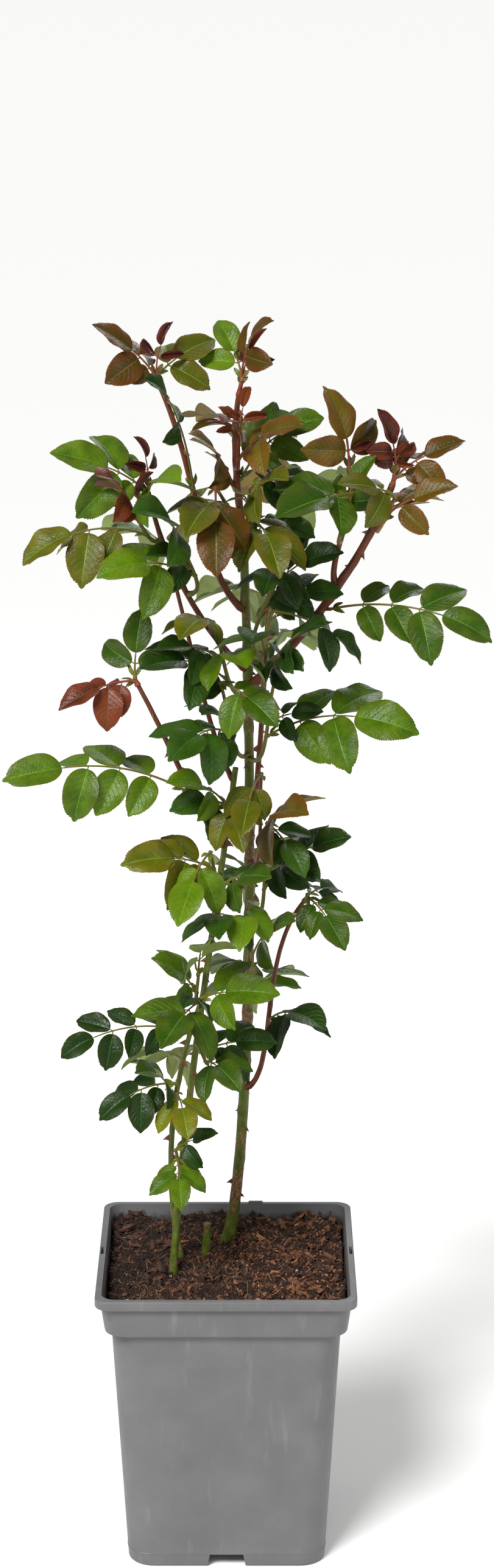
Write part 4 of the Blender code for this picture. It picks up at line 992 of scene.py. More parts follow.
def leaf_upper(name, deep, light, edge, edge_share, vein):
    """Upper skin of a living leaflet, cuticle waxed: glossy, with sunk side veins and fine netting.

    The side veins are lines of t minus a power of the place across, a set number to a blade; `edge`
    colours the rim, most on young leaves.
    """
    made, add, shader = new_material(name, IOR=1.45, Specular_IOR_Level=0.21)
    place = add("TexCoord", out="Object")
    across = add("SeparateXYZ", {"Vector": add("UVMap", uv_map="along")})
    along = across.node.outputs["Y"]
    signed = add("Math", {0: across, 1: 2.0, 2: -1.0}, operation="MULTIPLY_ADD")
    out = add("Math", {0: signed}, operation="ABSOLUTE")
    blotch = add("TexNoise", {"Vector": place, "Scale": 1 / LEAF_BLOTCH, "Detail": 3.0})
    tone = add("Attribute", out="Fac", attribute_name="tone")
    share = add("Math", {0: blotch, 1: 0.9, 2: tone}, operation="MULTIPLY_ADD")
    spread = add("MapRange", {"Value": share, "From Min": 0.45, "From Max": 1.35},
                 interpolation_type="SMOOTHSTEP")
    colour = add("Mix", {"Factor": spread, "A": deep, "B": light})
    bent = add("Math", {0: out, 1: VEIN_BEND}, operation="POWER")
    line = add("Math", {0: bent, 1: -VEIN_LEAN, 2: along}, operation="MULTIPLY_ADD")
    count = add("Math", {0: line, 1: float(SIDE_VEINS)}, operation="MULTIPLY")
    gap = add("Math", {0: count, 1: 0.5}, operation="PINGPONG")
    lines = add("MapRange", {"Value": gap, "From Max": 0.09, "To Min": 1.0, "To Max": 0.0},
                interpolation_type="SMOOTHSTEP")
    fade = add("Math", {0: out, 1: -0.8, 2: 1.0}, operation="MULTIPLY_ADD")
    veins = add("Math", {0: lines, 1: fade}, operation="MULTIPLY")
    ragged = add("Math", {0: blotch, 1: 0.9, 2: out}, operation="MULTIPLY_ADD")
    rim = add("MapRange", {"Value": ragged, "From Min": 0.55, "From Max": 1.35, "To Max": edge_share},
              interpolation_type="SMOOTHSTEP")
    colour = add("Mix", {"Factor": rim, "A": colour, "B": edge})
    faint = add("Math", {0: veins, 1: 0.38}, operation="MULTIPLY")
    colour = add("Mix", {"Factor": faint, "A": colour, "B": vein})
    netting = add("TexVoronoi", {"Vector": place, "Scale": 1 / LEAF_NETTING}, feature="DISTANCE_TO_EDGE")
    cells = add("MapRange", {"Value": netting, "From Max": 0.35, "To Max": 0.3},
                interpolation_type="SMOOTHSTEP")
    height = add("Math", {0: veins, 1: -0.9, 2: cells}, operation="MULTIPLY_ADD")
    gloss = add("MapRange", {"Value": blotch, "From Min": 0.3, "From Max": 0.7,
                "To Min": LEAF_ROUGHNESS[0], "To Max": LEAF_ROUGHNESS[1]})
    shader.id_data.links.new(gloss, shader.inputs["Roughness"])
    finish_with(shader, colour, height, 0.5, 0.0006)
    return made


def leaf_under(name, deep, light):
    """Lower skin of a leaflet, matt and unwaxed: paler and greyer, with raised netting."""
    made, add, shader = new_material(name, Roughness=0.62, IOR=1.4)
    place = add("TexCoord", out="Object")
    blotch = add("TexNoise", {"Vector": place, "Scale": 1 / UNDER_BLOTCH, "Detail": 3.0})
    netting = add("TexVoronoi", {"Vector": place, "Scale": 1 / UNDER_NETTING}, feature="DISTANCE_TO_EDGE")
    colour = add("Mix", {"Factor": blotch, "A": deep, "B": light})
    finish_with(shader, colour, netting, 0.4, 0.0005)
    return made


def young_wood(name, main, second, bark, roughness, bark_from):
    """Skin of a rose cane: smooth green or red rind, with cracked brown cork where `tone` is high.

    Streaks run along the cane: noise on the uv, which is in turns and metres, drawn out lengthwise.
    """
    made, add, shader = new_material(name, Roughness=roughness, IOR=1.45, Specular_IOR_Level=0.3)
    place = add("TexCoord", out="Object")
    uv = add("UVMap", uv_map="along")
    drawn = add("Mapping", {"Vector": uv, "Scale": (*WOOD_STREAKS, 1)})
    streaks = add("TexNoise", {"Vector": drawn, "Scale": 1.0, "Detail": 4.0})
    blotch = add("TexNoise", {"Vector": place, "Scale": 1 / WOOD_BLOTCH, "Detail": 5.0, "Roughness": 0.7})
    pair = add("Math", {0: streaks, 1: blotch}, operation="ADD")
    spread = add("MapRange", {"Value": pair, "From Min": 0.78, "From Max": 1.22})
    rind = add("Mix", {"Factor": spread, "A": main, "B": second})
    tone = add("Attribute", out="Fac", attribute_name="tone")
    aged = add("Math", {0: spread, 1: 0.9, 2: tone}, operation="MULTIPLY_ADD")
    cork = add("MapRange", {"Value": aged, "From Min": bark_from, "From Max": bark_from + 0.14})
    split = add("Mapping", {"Vector": uv, "Scale": (*WOOD_CRACKS, 1)})
    cracks = add("TexNoise", {"Vector": split, "Scale": 1.0, "Detail": 5.0, "Roughness": 0.7})
    plate = add("MapRange", {"Value": cracks, "From Min": 0.36, "From Max": 0.6})
    flaked = add("Mix", {"Factor": plate, "A": "3a2416", "B": bark})
    colour = add("Mix", {"Factor": cork, "A": rind, "B": flaked})
    grain = add("TexNoise", {"Vector": place, "Scale": 1 / WOOD_GRAIN, "Detail": 3.0})
    rough = add("Math", {0: cork, 1: 1.2, 2: 0.25}, operation="MULTIPLY_ADD")
    height = add("Math", {0: grain, 1: rough}, operation="MULTIPLY")
    finish_with(shader, colour, height, 0.5, 0.0006)
    return made


def plain_grown(name, main, second, roughness, grain, damp_and_shade=0.0):
    """Any small grown or broken surface: two colours mottled at `grain` metres, with a low bump.

    Given a last number, it darkens by up to that much in wide random moist patches, and in painted shade
    that deepens towards the pot's left.
    """
    made, add, shader = new_material(name, Roughness=roughness, IOR=1.45)
    place = add("TexCoord", out="Object")
    mottle = add("TexNoise", {"Vector": place, "Scale": 1 / grain, "Detail": 4.0, "Roughness": 0.6})
    spread = add("MapRange", {"Value": mottle, "From Min": 0.35, "From Max": 0.68})
    colour = add("Mix", {"Factor": spread, "A": main, "B": second})
    if damp_and_shade:
        pools = add("TexNoise", {"Vector": place, "Scale": 1 / DAMP_PATCHES, "Detail": 3.0,
                    "Roughness": 0.6})
        # Painted shade: darker towards the pot's left (-x), added to the random moist patches
        across = add("SeparateXYZ", {"Vector": place})
        damp_and_shade_mask = add("Math", {0: across, 1: -2.4, 2: pools}, operation="MULTIPLY_ADD")
        damp_and_shade_mask = add("MapRange", {"Value": damp_and_shade_mask, "From Min": 0.46, "From Max": 0.66, "To Max": damp_and_shade})
        colour = add("Mix", {"Factor": damp_and_shade_mask, "A": colour, "B": "140a06"})
    finish_with(shader, colour, mottle, 0.5, grain * 0.3)
    return made


def moulded_plastic(name, main, second):
    """Injection-moulded polypropylene, filled grey: satin, with a faint bloom and fine scuffs.

    Pale stains have run down it. Inside, where `tone` is high, it is darkened almost evenly towards
    dark brown, speckled only where the tone fades: dried compost and painted shade of the pot's inside.
    """
    made, add, shader = new_material(name, IOR=1.49, Specular_IOR_Level=0.35)
    place = add("TexCoord", out="Object")
    bloom = add("TexNoise", {"Vector": place, "Scale": 1 / PLASTIC_BLOOM, "Detail": 5.0,
                "Roughness": 0.62})
    drawn = add("Mapping", {"Vector": place, "Scale": (1.0, 1.0, 0.1)})
    scuff = add("TexNoise", {"Vector": drawn, "Scale": 1 / PLASTIC_SCUFFS, "Detail": 2.0})
    grain = add("TexNoise", {"Vector": place, "Scale": 1 / PLASTIC_GRAIN, "Detail": 2.0})
    spread = add("MapRange", {"Value": bloom, "From Min": 0.35, "From Max": 0.7})
    colour = add("Mix", {"Factor": spread, "A": main, "B": second})
    gloss = add("MapRange", {"Value": scuff, "From Min": 0.3, "From Max": 0.7, "To Min": 0.38,
                "To Max": 0.52})
    wisps = add("Mapping", {"Vector": place, "Scale": (1.0, 1.0, 0.16)})
    runs = add("TexNoise", {"Vector": wisps, "Scale": 1 / PLASTIC_RUNS, "Detail": 3.0, "Roughness": 0.55})
    stain = add("MapRange", {"Value": runs, "From Min": 0.6, "From Max": 0.85, "To Max": 0.35})
    colour = add("Mix", {"Factor": stain, "A": colour, "B": "909092"})
    # Painted shade and dried compost on the inside: its tone darkens it almost evenly to dark brown
    tone = add("Attribute", out="Fac", attribute_name="tone")
    specks = add("TexNoise", {"Vector": place, "Scale": 1 / PLASTIC_SPECKS, "Detail": 5.0,
                 "Roughness": 0.7})
    dirt_and_shade = add("Math", {0: specks, 1: tone}, operation="ADD")
    dirt_and_shade_share = add("MapRange", {"Value": dirt_and_shade, "From Min": 1.0, "From Max": 1.5, "To Max": 0.9})
    colour = add("Mix", {"Factor": dirt_and_shade_share, "A": colour, "B": "1e1714"})
    shader.id_data.links.new(gloss, shader.inputs["Roughness"])
    finish_with(shader, colour, grain, 0.12, 0.0003)
    return made


# ---------- leaflets

SIDE_VEINS = 8  # pairs of side veins to a blade
VEIN_LEAN = 0.3  # how much of the blade's length a side vein climbs on its way out
VEIN_BEND = 1.15  # over 1 where it bends towards the tip as it goes
LEAF_ROUGHNESS = (0.27, 0.39)
TIP_PINCH = (0.18, 0.46)  # least and greatest share by which the outline draws in before the tip
PINCH_PLACE = 0.925
PINCH_WIDTH = 0.05
FOLD_SOFTNESS = 0.02  # c in the fold's sqrt(u^2 + c)
BULGE = (0.1, 0.3)
TOOTH_SIZES = (0.5, 1.35)  # of the tooth asked for
RIM_WAVES = (1.2, 2.4)  # waves of the rim to a blade
RIM_WAVE_HEIGHTS = (0.03, 0.1)
BLADE_ROWS = 32  # one tooth to a row
BLADE_COLUMNS = np.array((-0.82, -0.52, -0.26, -0.02, 0.02, 0.26, 0.52, 0.82))
WING_LENGTHS = (0.007, 0.011)
WING_WIDTH = 0.0032
WING_TOOTH = 0.0004
WING_SPREAD = (0.35, 0.6)  # across to along
STIPULE_ROWS = 6
STIPULE_COLUMNS = np.array((-0.4, 0.4))
BLADE_THICK = 0.00035
PIECE_LEAFLETS = 150  # leaflets joined into one piece

# Upper skin (deep, light), its rim and the rim's share, side veins, midrib, lower skin (deep, light)
TINT_SKINS = {
    "green": ("284604", "587806", "54401a", 0.22, "34520a", "706c2a", "6c7d3c", "8a9852"),
    "dark": ("142e06", "30520e", "3a3410", 0.2, "16300c", "3f5c24", "586c3c", "768656"),
    "olive": ("424c04", "6c740c", "6a421a", 0.27, "4c540a", "84803a", "74803e", "929a56"),
    "bronze": ("3e3204", "5f520a", "642c10", 0.45, "442c08", "805230", "6a5a2c", "86723c"),
    "red": ("2c100b", "6a3616", "6a281a", 0.45, "36140e", "7c3c2c", "48261e", "6a4034"),
}


def blade_template(rows, columns):
    """The grid that every leaflet shares: places t and u, which skin, faces, uv and sharp points.

    Inner points stand at rows and columns, and the rim has two points to a row: a tooth, and the
    notch after it. The upper and the lower skin meet along the rim, at the foot and at the tip.
    """
    count = len(columns)
    rim_t = np.arange(1, 2 * rows) / (2 * rows)
    inner_t = np.repeat(np.arange(1, rows) / rows, count)
    inner_u = np.tile(columns, rows - 1)
    left = np.arange(len(rim_t))
    right = left + len(rim_t)
    upper = 2 * len(rim_t) + np.arange(len(inner_t)).reshape(rows - 1, count)
    lower = upper + len(inner_t)
    foot = 2 * len(rim_t) + 2 * len(inner_t)
    tip = foot + 1
    t_all = np.concatenate([rim_t, rim_t, inner_t, inner_t, [0.0, 1.0]])
    u_all = np.concatenate([-np.ones(len(rim_t)), np.ones(len(rim_t)), inner_u, inner_u, [0.0, 0.0]])
    skin = np.zeros(len(t_all))
    skin[upper] = 1.0
    skin[lower] = -1.0
    tooth = np.zeros(len(t_all))
    tooth[left[::2]] = tooth[right[::2]] = 1.0
    middle = np.where(np.abs(columns[:-1] + columns[1:]) < 1e-6, 1, 0)
    quads, triangles, quad_skins, triangle_skins = [], [], [], []
    for grid, plain in ((upper, 0), (lower, 1)):
        cells = np.stack([grid[:-1, :-1], grid[:-1, 1:], grid[1:, 1:], grid[1:, :-1]], axis=-1)
        at, on, after = left[1:-2:2], left[2:-1:2], left[3::2]
        strip = [(at, grid[:-1, 0], on), (grid[:-1, 0], grid[1:, 0], on), (on, grid[1:, 0], after)]
        at, on, after = right[1:-2:2], right[2:-1:2], right[3::2]
        strip += [(grid[:-1, -1], at, on), (grid[:-1, -1], on, grid[1:, -1]), (grid[1:, -1], on, after)]
        low = np.concatenate([left[:2], grid[0], right[1::-1]])
        high = np.concatenate([left[-1:-3:-1], grid[-1], right[-2:]])
        fans = [(np.full(len(low) - 1, foot), low[1:], low[:-1]),
                (np.full(len(high) - 1, tip), high[:-1], high[1:])]
        corners = np.vstack([np.stack(one, axis=1) for one in strip + fans])
        cells = cells.reshape(-1, 4)
        if plain:
            corners, cells = corners[:, ::-1], cells[:, ::-1]
        quads.append(cells)
        triangles.append(corners)
        quad_skins.append(np.tile(np.where(middle, 2, plain), rows - 2))
        triangle_skins.append(np.full(len(corners), plain))
    quads, triangles = np.vstack(quads), np.vstack(triangles)
    place = np.stack([(u_all + 1) / 2, t_all], axis=1)
    crease = np.zeros(len(t_all), bool)
    crease[left] = crease[right] = crease[foot] = crease[tip] = True
    return {"t": t_all, "u": u_all, "skin": skin, "tooth": tooth, "quads": quads,
            "triangles": triangles, "skins": np.concatenate(quad_skins + triangle_skins),
            "uv": np.vstack([place[quads.ravel()], place[triangles.ravel()]]), "crease": crease}


def blade_surface(leaflets, grid, tooth, quilt, seed):
    """Points of many leaflets at once, one row of points to a leaflet.

    The midrib is an arc, p(t) = root + length (way sin(at) - up (1 - cos(at))) / a. Across it each
    half rises by the fold along sqrt(u^2 + c), bulges by |u| - u^2, waves at the rim as u^2 times
    a sine of t, and is quilted as the sine of the side veins' phase. The outline draws in before
    the tip by a Gaussian of t, and uneven teeth stand out of the rim at every other point.
    """
    rng = np.random.default_rng(seed)
    count = len(leaflets)
    t, u, out = grid["t"], grid["u"], np.abs(grid["u"])
    length, width, a, fold, twist = np.array(
        [(one.length, one.width, one.arch, one.fold, one.twist) for one in leaflets]).T[..., None]
    root, way, up = (np.array([getattr(one, key) for one in leaflets])[:, None]
                     for key in ("root", "way", "up"))
    reach = (np.sin(a * t) / a)[..., None]
    drop = ((1 - np.cos(a * t)) / a)[..., None]
    middle = root + way * PETIOLULE + length[..., None] * (way * reach - up * drop)
    sine, cosine = np.sin(a * t)[..., None], np.cos(a * t)[..., None]
    on = way * cosine - up * sine
    top = way * sine + up * cosine
    side = np.cross(on, top)
    turn = (twist * t)[..., None]
    across = side * np.cos(turn) + top * np.sin(turn)
    over = top * np.cos(turn) - side * np.sin(turn)
    pinch = 1 - rng.uniform(*TIP_PINCH, (count, 1)) * np.exp(-((t - PINCH_PLACE) / PINCH_WIDTH) ** 2)
    half = blade_outline(t) * width / 2 * pinch
    c = FOLD_SOFTNESS
    soft = (np.sqrt(u * u + c) - c ** 0.5) / ((1 + c) ** 0.5 - c ** 0.5)
    bulge = rng.uniform(*BULGE, (count, 1)) * (out - u * u)
    size = tooth * rng.uniform(*TOOTH_SIZES, (count, len(t))) * grid["tooth"]
    size = size * np.minimum(1, 6 * t) * np.minimum(1, 8 * (1 - t))
    waves = rng.uniform(*RIM_WAVES, (count, 1)) * t + rng.uniform(0, 1, (count, 1))
    sweep = np.sin(2 * math.pi * (waves + 0.25 * np.sign(u)))
    wave = rng.uniform(*RIM_WAVE_HEIGHTS, (count, 1)) * u * u * sweep
    phase = SIDE_VEINS * (t - VEIN_LEAN * out ** VEIN_BEND)
    pillow = quilt * length * np.abs(np.sin(math.pi * phase)) ** 0.7 * (1 - u ** 4)
    pillow = pillow * (out > 0.1) * np.sqrt(4 * t * (1 - t))
    rise = half * (np.sin(fold) * soft + bulge + wave) + pillow
    rise = rise + grid["skin"] * BLADE_THICK / 2 * (1 - u * u)
    flat = half * u * np.cos(fold) + size * np.sign(u)
    return (middle + across * flat[..., None] + over * rise[..., None] + on * (size * 0.9)[..., None])


def join_blades(name, leaflets, tones, grid, finishes, tooth, quilt, seed):
    """One piece of many leaflets that share a grid."""
    points = blade_surface(leaflets, grid, tooth, quilt, seed)
    count, size = points.shape[:2]
    shift = (np.arange(count) * size)[:, None, None]
    quads = (grid["quads"][None] + shift).reshape(-1, 4)
    triangles = (grid["triangles"][None] + shift).reshape(-1, 3)
    split = len(grid["quads"])
    skins, spots = grid["skins"], grid["uv"]
    skins = np.concatenate([np.tile(part, count) for part in (skins[:split], skins[split:])])
    uv = np.vstack([np.tile(part, (count, 1)) for part in (spots[:4 * split], spots[4 * split:])])
    return make_piece(name, points.reshape(-1, 3), quads, triangles, finishes, skins, uv,
                      np.repeat(tones, size), np.tile(grid["crease"], count))


def rind_of(leaf):
    """Which rind a leaf's stalk has: red on young shoots, green on the others."""
    return "red" if leaf.tint in ("bronze", "red") else "green"


def leaflets_by_tint():
    """Every leaflet with its spray's name and a tone of its own, by the tint of its leaf."""
    _, _, leaves = plant()
    rng = np.random.default_rng(SEED)
    sorted_by = {tint: [] for tint in TINT_SKINS}
    for name, leaf in leaves:
        shade = rng.uniform(0.0, 0.6)
        for one in leaf.leaflets():
            sorted_by[leaf.tint].append((one, name, shade + rng.uniform(-0.15, 0.15)))
    return sorted_by


# ---------- canes and boughs

# Foot of a cane and of a bough: how far it runs into what carries it, its flare and the flare's length
STEM_FOOT = (0.006, 0.25, 0.012)
BOUGH_FOOT = (0.0012, 0.45, 0.003)
STALK_SINK = 0.001  # how far a leaf's stalk runs into what carries it
STALK_FLARE = (0.75, 0.0035)
SHOOT_FLARE = (0.35, 0.003)
BARK_RING_GAP = 0.0022
BOUGH_SIDES = 18
BARK_RELIEF = 0.035  # of the radius
BARK_WAVES = 30  # to a metre


def bark_surface(limb, sides, swellings, foot, seed):
    """A limb's skin: its own curve and taper, times 1 + low noise + a swelling at each bud.

    Each swelling is a Gaussian along the limb that leans towards the bud's own side; the foot
    flares as an exponential. The foot runs a little into what carries it.
    """
    sink, flare, fading = foot
    count = max(24, int(limb.length / BARK_RING_GAP))
    places = np.linspace(0.0, 1.0, count)
    path = limb.point(places)
    ways = limb.way(places)
    ways[0] = limb.seat_way
    reach = distances(path)
    radius = limb.radius(places)
    path = np.vstack([path[0] - limb.seat_way * sink, path])
    ways = np.vstack([ways[0], ways])
    radius = np.concatenate([radius[:1], radius])
    reach = np.concatenate([[0.0], reach])
    turn = np.arange(sides) * 2 * math.pi / sides
    across, over = ring_frames(ways)
    skin = 1 + BARK_RELIEF * soft_noise(reach[:, None], turn[None, :], seed, BARK_WAVES)
    skin = skin + flare * np.exp(-reach / fading)[:, None]
    for place, towards, size, spread in swellings:
        at = place * reach[-1]
        way = limb.way(min(place, 0.998))
        aim = unit(towards - way * np.dot(towards, way))
        lean = (across @ aim)[:, None] * np.cos(turn) + (over @ aim)[:, None] * np.sin(turn)
        skin = skin + size * np.exp(-((reach - at) / spread) ** 2)[:, None] * (0.45 + 0.55 * lean)
    return path, ways, radius[:, None] * skin


# How many bare knuckles some limbs have, and what each kind of bud swells a limb by: share of its
# radius, and length
KNUCKLES = {"stem_right": 13, "stem_middle": 9, "stem_left": 5, "bough_right": 5}
BOUGH_SWELLING = (0.3, 0.006)
SPRAY_SWELLING = (0.24, 0.004)
KNUCKLE_SWELLING = (0.16, 0.0035)


def limb_swellings(name):
    """Where a limb swells: under each bough, leaf and shoot that it carries, and at its bare nodes."""
    limbs, _, _ = plant()
    found = []
    for carrier, place, tip, *_ in BOUGHS.values():
        if carrier == name and place < 1.0:
            found.append((place, np.array(tip) - limbs[name].point(place), *BOUGH_SWELLING))
    for carrier, place, shoot, leaves in SPRAYS.values():
        if carrier == name and place < 1.0:
            found.append((place, heading(*(shoot or leaves[0])[:2]), *SPRAY_SWELLING))
    count = KNUCKLES.get(name, 0)
    for i in range(count):
        found.append(((i + 0.7) / (count + 0.5), heading(GOLDEN * i - 60, 0), *KNUCKLE_SWELLING))
    return found


# Patches of brown cork on the canes, and thin scars round them where leaves once stood: middle
# height, half height, azimuth in degrees, strength
CORK = {"stem_right": ((0.268, 0.024, -80, 0.95), (0.305, 0.016, -60, 0.5), (0.331, 0.01, -10, 0.45),
                       (0.3525, 0.0012, -60, 0.8), (0.376, 0.0016, -90, 1.0), (0.412, 0.022, -90, 0.95),
                       (0.452, 0.0014, -80, 0.9), (0.475, 0.03, -60, 0.5), (0.512, 0.0014, -100, 0.9),
                       (0.556, 0.032, -90, 0.75), (0.603, 0.0014, -90, 0.9), (0.66, 0.05, -70, 0.45),
                       (0.742, 0.03, -90, 0.45)),
        "stem_middle": ((0.225, 0.015, -90, 0.45), (0.29, 0.0012, -90, 0.8), (0.36, 0.05, -60, 0.5),
                        (0.43, 0.0012, -90, 0.8), (0.52, 0.05, -120, 0.45)),
        "stem_left": ((0.25, 0.05, -80, 0.4), (0.312, 0.0012, -90, 0.8), (0.38, 0.05, -100, 0.4)),
        "stem_stub": ((0.245, 0.008, -90, 0.8),)}


def cork_share(points, axis, patches):
    """Strength of the cork at points: a Gaussian in height, and a cosine round the limb's axis."""
    away = np.arctan2(points[:, 1] - axis[:, 1], points[:, 0] - axis[:, 0])
    total = np.zeros(len(points))
    for middle, half, azimuth, share in patches:
        facing = 0.62 + 0.38 * np.cos(away - math.radians(azimuth))
        total = np.maximum(total, share * facing * np.exp(-((points[:, 2] - middle) / half) ** 2))
    return total


MORE_THORNS = 4  # thorns to each that the solids have
THORN_TURN = 222  # degrees round from each to the next between them
THORN_SIZES = (0.6, 0.95)  # of the solids' thorns
THORN_SEAT = 0.72  # share of the limb's radius at which its foot lies
THORN_LAST = 0.97  # place on the limb past which there are none
THORN_RINGS = 8
THORN_SIDES = 10


def thorn_surface(thorns):
    """Curved thorns as arrays: oval rings that narrow from an oblong foot to a hooked point.

    A ring at v stands at foot + out 1.05 h v - way 0.5 h v^2, with half widths that fall as
    (1 - v)^1.2.
    """
    v = np.linspace(0.0, 1.0, THORN_RINGS)[None, :, None, None]
    turn = (np.arange(THORN_SIDES) * 2 * math.pi / THORN_SIDES)[None, None, :, None]
    foot, way, side, out = (np.array([one[i] for one in thorns])[:, None, None, :] for i in range(4))
    size = np.array([one[4] for one in thorns])[:, None, None, None]
    narrow = (1 - v) ** 1.2 + 0.02
    centre = foot + out * size * v * 1.05 - way * size * 0.5 * v ** 2
    return (centre + way * size * 0.55 * narrow * np.cos(turn)
            + side * size * 0.22 * narrow * np.sin(turn))


# ---------- pot and compost

EDGE_ROUND = 0.0016  # of the foot
LIP_ROUND = 0.0012
SEAM = 0.0105  # height of a faint moulded line above the foot
TAB_SLOPE = 0.001
POT_CREASE = 32  # degrees from which the pot's edges are sharp
INSIDE_DIRT_AND_SHADE = 2.2  # tone of the inner wall: dried compost and painted shade
PAST = 0.01  # how far cutters stand past what they cut


def pot_rows():
    """Rows of the pot's outside, from its foot up over the lip, each (half, corner, height)."""
    shoulder = POT_HEIGHT - LIP_HEIGHT - COLLAR_HEIGHT - STEP_HEIGHT
    collar = shoulder + STEP_HEIGHT
    lip = collar + COLLAR_HEIGHT
    quarter = np.radians(90 * np.arange(5) / 4)
    rows = [(FOOT_HALF - EDGE_ROUND * (1 - math.sin(turn)), BODY_CORNER,
             EDGE_ROUND * (1 - math.cos(turn))) for turn in quarter]
    rows += [(body_half(SEAM - 0.0004), BODY_CORNER, SEAM - 0.0004),
             (body_half(SEAM) + 0.00035, BODY_CORNER, SEAM),
             (body_half(SEAM + 0.0006), BODY_CORNER, SEAM + 0.0006)]
    rows += [(body_half(z), BODY_CORNER, z) for z in np.linspace(0.02, shoulder - 0.004, 8)]
    corner = RIM_CORNER + 0.004
    rows += [(body_half(shoulder - 0.0008), BODY_CORNER, shoulder - 0.0008),
             (SHOULDER_HALF + 0.0004, BODY_CORNER - 0.0005, shoulder + 0.0002),
             (COLLAR_FOOT_HALF - 0.001, corner, collar - 0.0008),
             (COLLAR_FOOT_HALF - 0.0002, corner, collar - 0.0002),
             (COLLAR_FOOT_HALF + 0.0001, corner, collar + 0.0008)]
    rows += [(COLLAR_FOOT_HALF + (COLLAR_HALF - COLLAR_FOOT_HALF) * share, corner - 0.002 * share,
              collar + COLLAR_HEIGHT * share) for share in (0.25, 0.5, 0.75, 0.95)]
    rows += [(RIM_HALF - 0.0012, RIM_CORNER, lip - 0.0004),
             (RIM_HALF - 0.0003, RIM_CORNER, lip + 0.0001), (RIM_HALF, RIM_CORNER, lip + 0.0008)]
    return rows + [(RIM_HALF - LIP_ROUND * (1 - math.cos(turn)), RIM_CORNER,
                    POT_HEIGHT - LIP_ROUND * (1 - math.sin(turn))) for turn in quarter]


def rounded_ring(half, corner, z, points=14):
    """Rounded square at a height: quarter circles joined by straight sides with points between."""
    turn = np.radians(90 * np.arange(points) / (points - 1))
    x = half - corner + corner * np.cos(turn)
    y = half - corner + corner * np.sin(turn)
    side = np.linspace(y[-1], -y[-1], 10)[1:-1]
    arc = np.stack([x, y], axis=1)
    run = np.stack([np.linspace(x[-1], -x[-1], 10)[1:-1], np.full(len(side), y[-1])], axis=1)
    quarter = np.vstack([arc, run])
    turns = [(math.cos(i * math.pi / 2), math.sin(i * math.pi / 2)) for i in range(4)]
    ring = np.vstack([quarter @ np.array([[c, s], [-s, c]]) for c, s in turns])
    return np.hstack([ring, np.full((len(ring), 1), z)])


def shell(name, rows, finishes):
    """Closed solid through rows of rounded squares from the bottom up, its two ends filled."""
    rings = [rounded_ring(*row) for row in rows]
    count = len(rings[0])
    points = np.vstack(rings + [[[0, 0, rows[0][2]]], [[0, 0, rows[-1][2]]]])
    quads = grid_faces(len(rings), count, True)
    side = np.arange(count)
    on, last = (side + 1) % count, (len(rings) - 1) * count
    base, top = np.full((2, count), len(points) - 2) + np.array([[0], [1]])
    triangles = np.hstack([(base, on, side), (top, last + side, last + on)]).T
    return make_piece(name, points, quads, triangles, finishes)


def cut_with(target, cutters):
    """Take the cutters out of the target for good, exactly, and remove them."""
    for cutter in cutters:
        step = target.modifiers.new("Cut", "BOOLEAN")
        step.operation = "DIFFERENCE"
        step.solver = "EXACT"
        step.object = cutter
    seen = bpy.context.evaluated_depsgraph_get()
    done = bpy.data.meshes.new_from_object(target.evaluated_get(seen))
    target.modifiers.clear()
    target.data = done
    for cutter in cutters:
        bpy.data.objects.remove(cutter, do_unlink=True)


def wedge(name, outline, near, far, turn, finishes):
    """Prism: an outline in x and z, drawn from y = near to y = far, turned about the upright axis."""
    count = len(outline)
    points = np.array([(x, near, z) for x, z in outline] + [(x, far, z) for x, z in outline])
    c, s = math.cos(turn), math.sin(turn)
    points = points @ np.array([[c, s, 0], [-s, c, 0], [0, 0, 1]])
    ring = np.arange(count)
    walls = np.stack([ring, count + ring, count + (ring + 1) % count, (ring + 1) % count], axis=1)
    fans = np.array([(0, i, i + 1) for i in range(1, count - 1)])
    triangles = np.vstack([fans, (fans + count)[:, ::-1]])
    return make_piece(name, points, walls, triangles, finishes, smooth=False)


def arches(grow, finish):
    """Cutters for the arches in the four sides of the foot, each `grow` larger all round."""
    low, high = NOTCH_WIDTH / 2 + grow, NOTCH_TOP / 2 + grow
    outline = [(-low, -PAST), (low, -PAST), (high, NOTCH_HEIGHT + grow), (-high, NOTCH_HEIGHT + grow)]
    near, far = -FOOT_HALF - 2 * PAST, -(FOOT_HALF - NOTCH_DEPTH - grow)
    return [wedge(f"arch_{i}", outline, near, far, math.pi / 2 * i, [finish]) for i in range(4)]


def drains(finish):
    """Cutters for the drain holes in the arches' roofs."""
    reach = FOOT_HALF - NOTCH_DEPTH + 2 * DRAIN_RADIUS
    found = []
    for i in range(4):
        turn = math.pi / 2 * i
        path = np.array([[reach * math.sin(turn), -reach * math.cos(turn), z] for z in (0.006, 0.016)])
        tube_of = closed_tube(path, np.array([[0, 0, 1.0]] * 2), [DRAIN_RADIUS] * 2, 24)
        found.append(make_piece(f"drain_{i}", *tube_of[:3], [finish]))
    return found


def slots(finish):
    """Cutters for the hand slots in the left and the right lip."""
    low, high, half = POT_HEIGHT - LIP_HEIGHT - PAST, POT_HEIGHT + PAST, SLOT_WIDTH / 2
    found = []
    for hand in (-1, 1):
        at = hand * (RIM_HALF - LIP_WALL / 2)
        outline = [(at - half, low), (at + half, low), (at + half, high), (at - half, high)]
        found.append(wedge(f"slot_{hand + 1}", outline, -SLOT_LENGTH / 2, SLOT_LENGTH / 2, 0.0, [finish]))
    return found


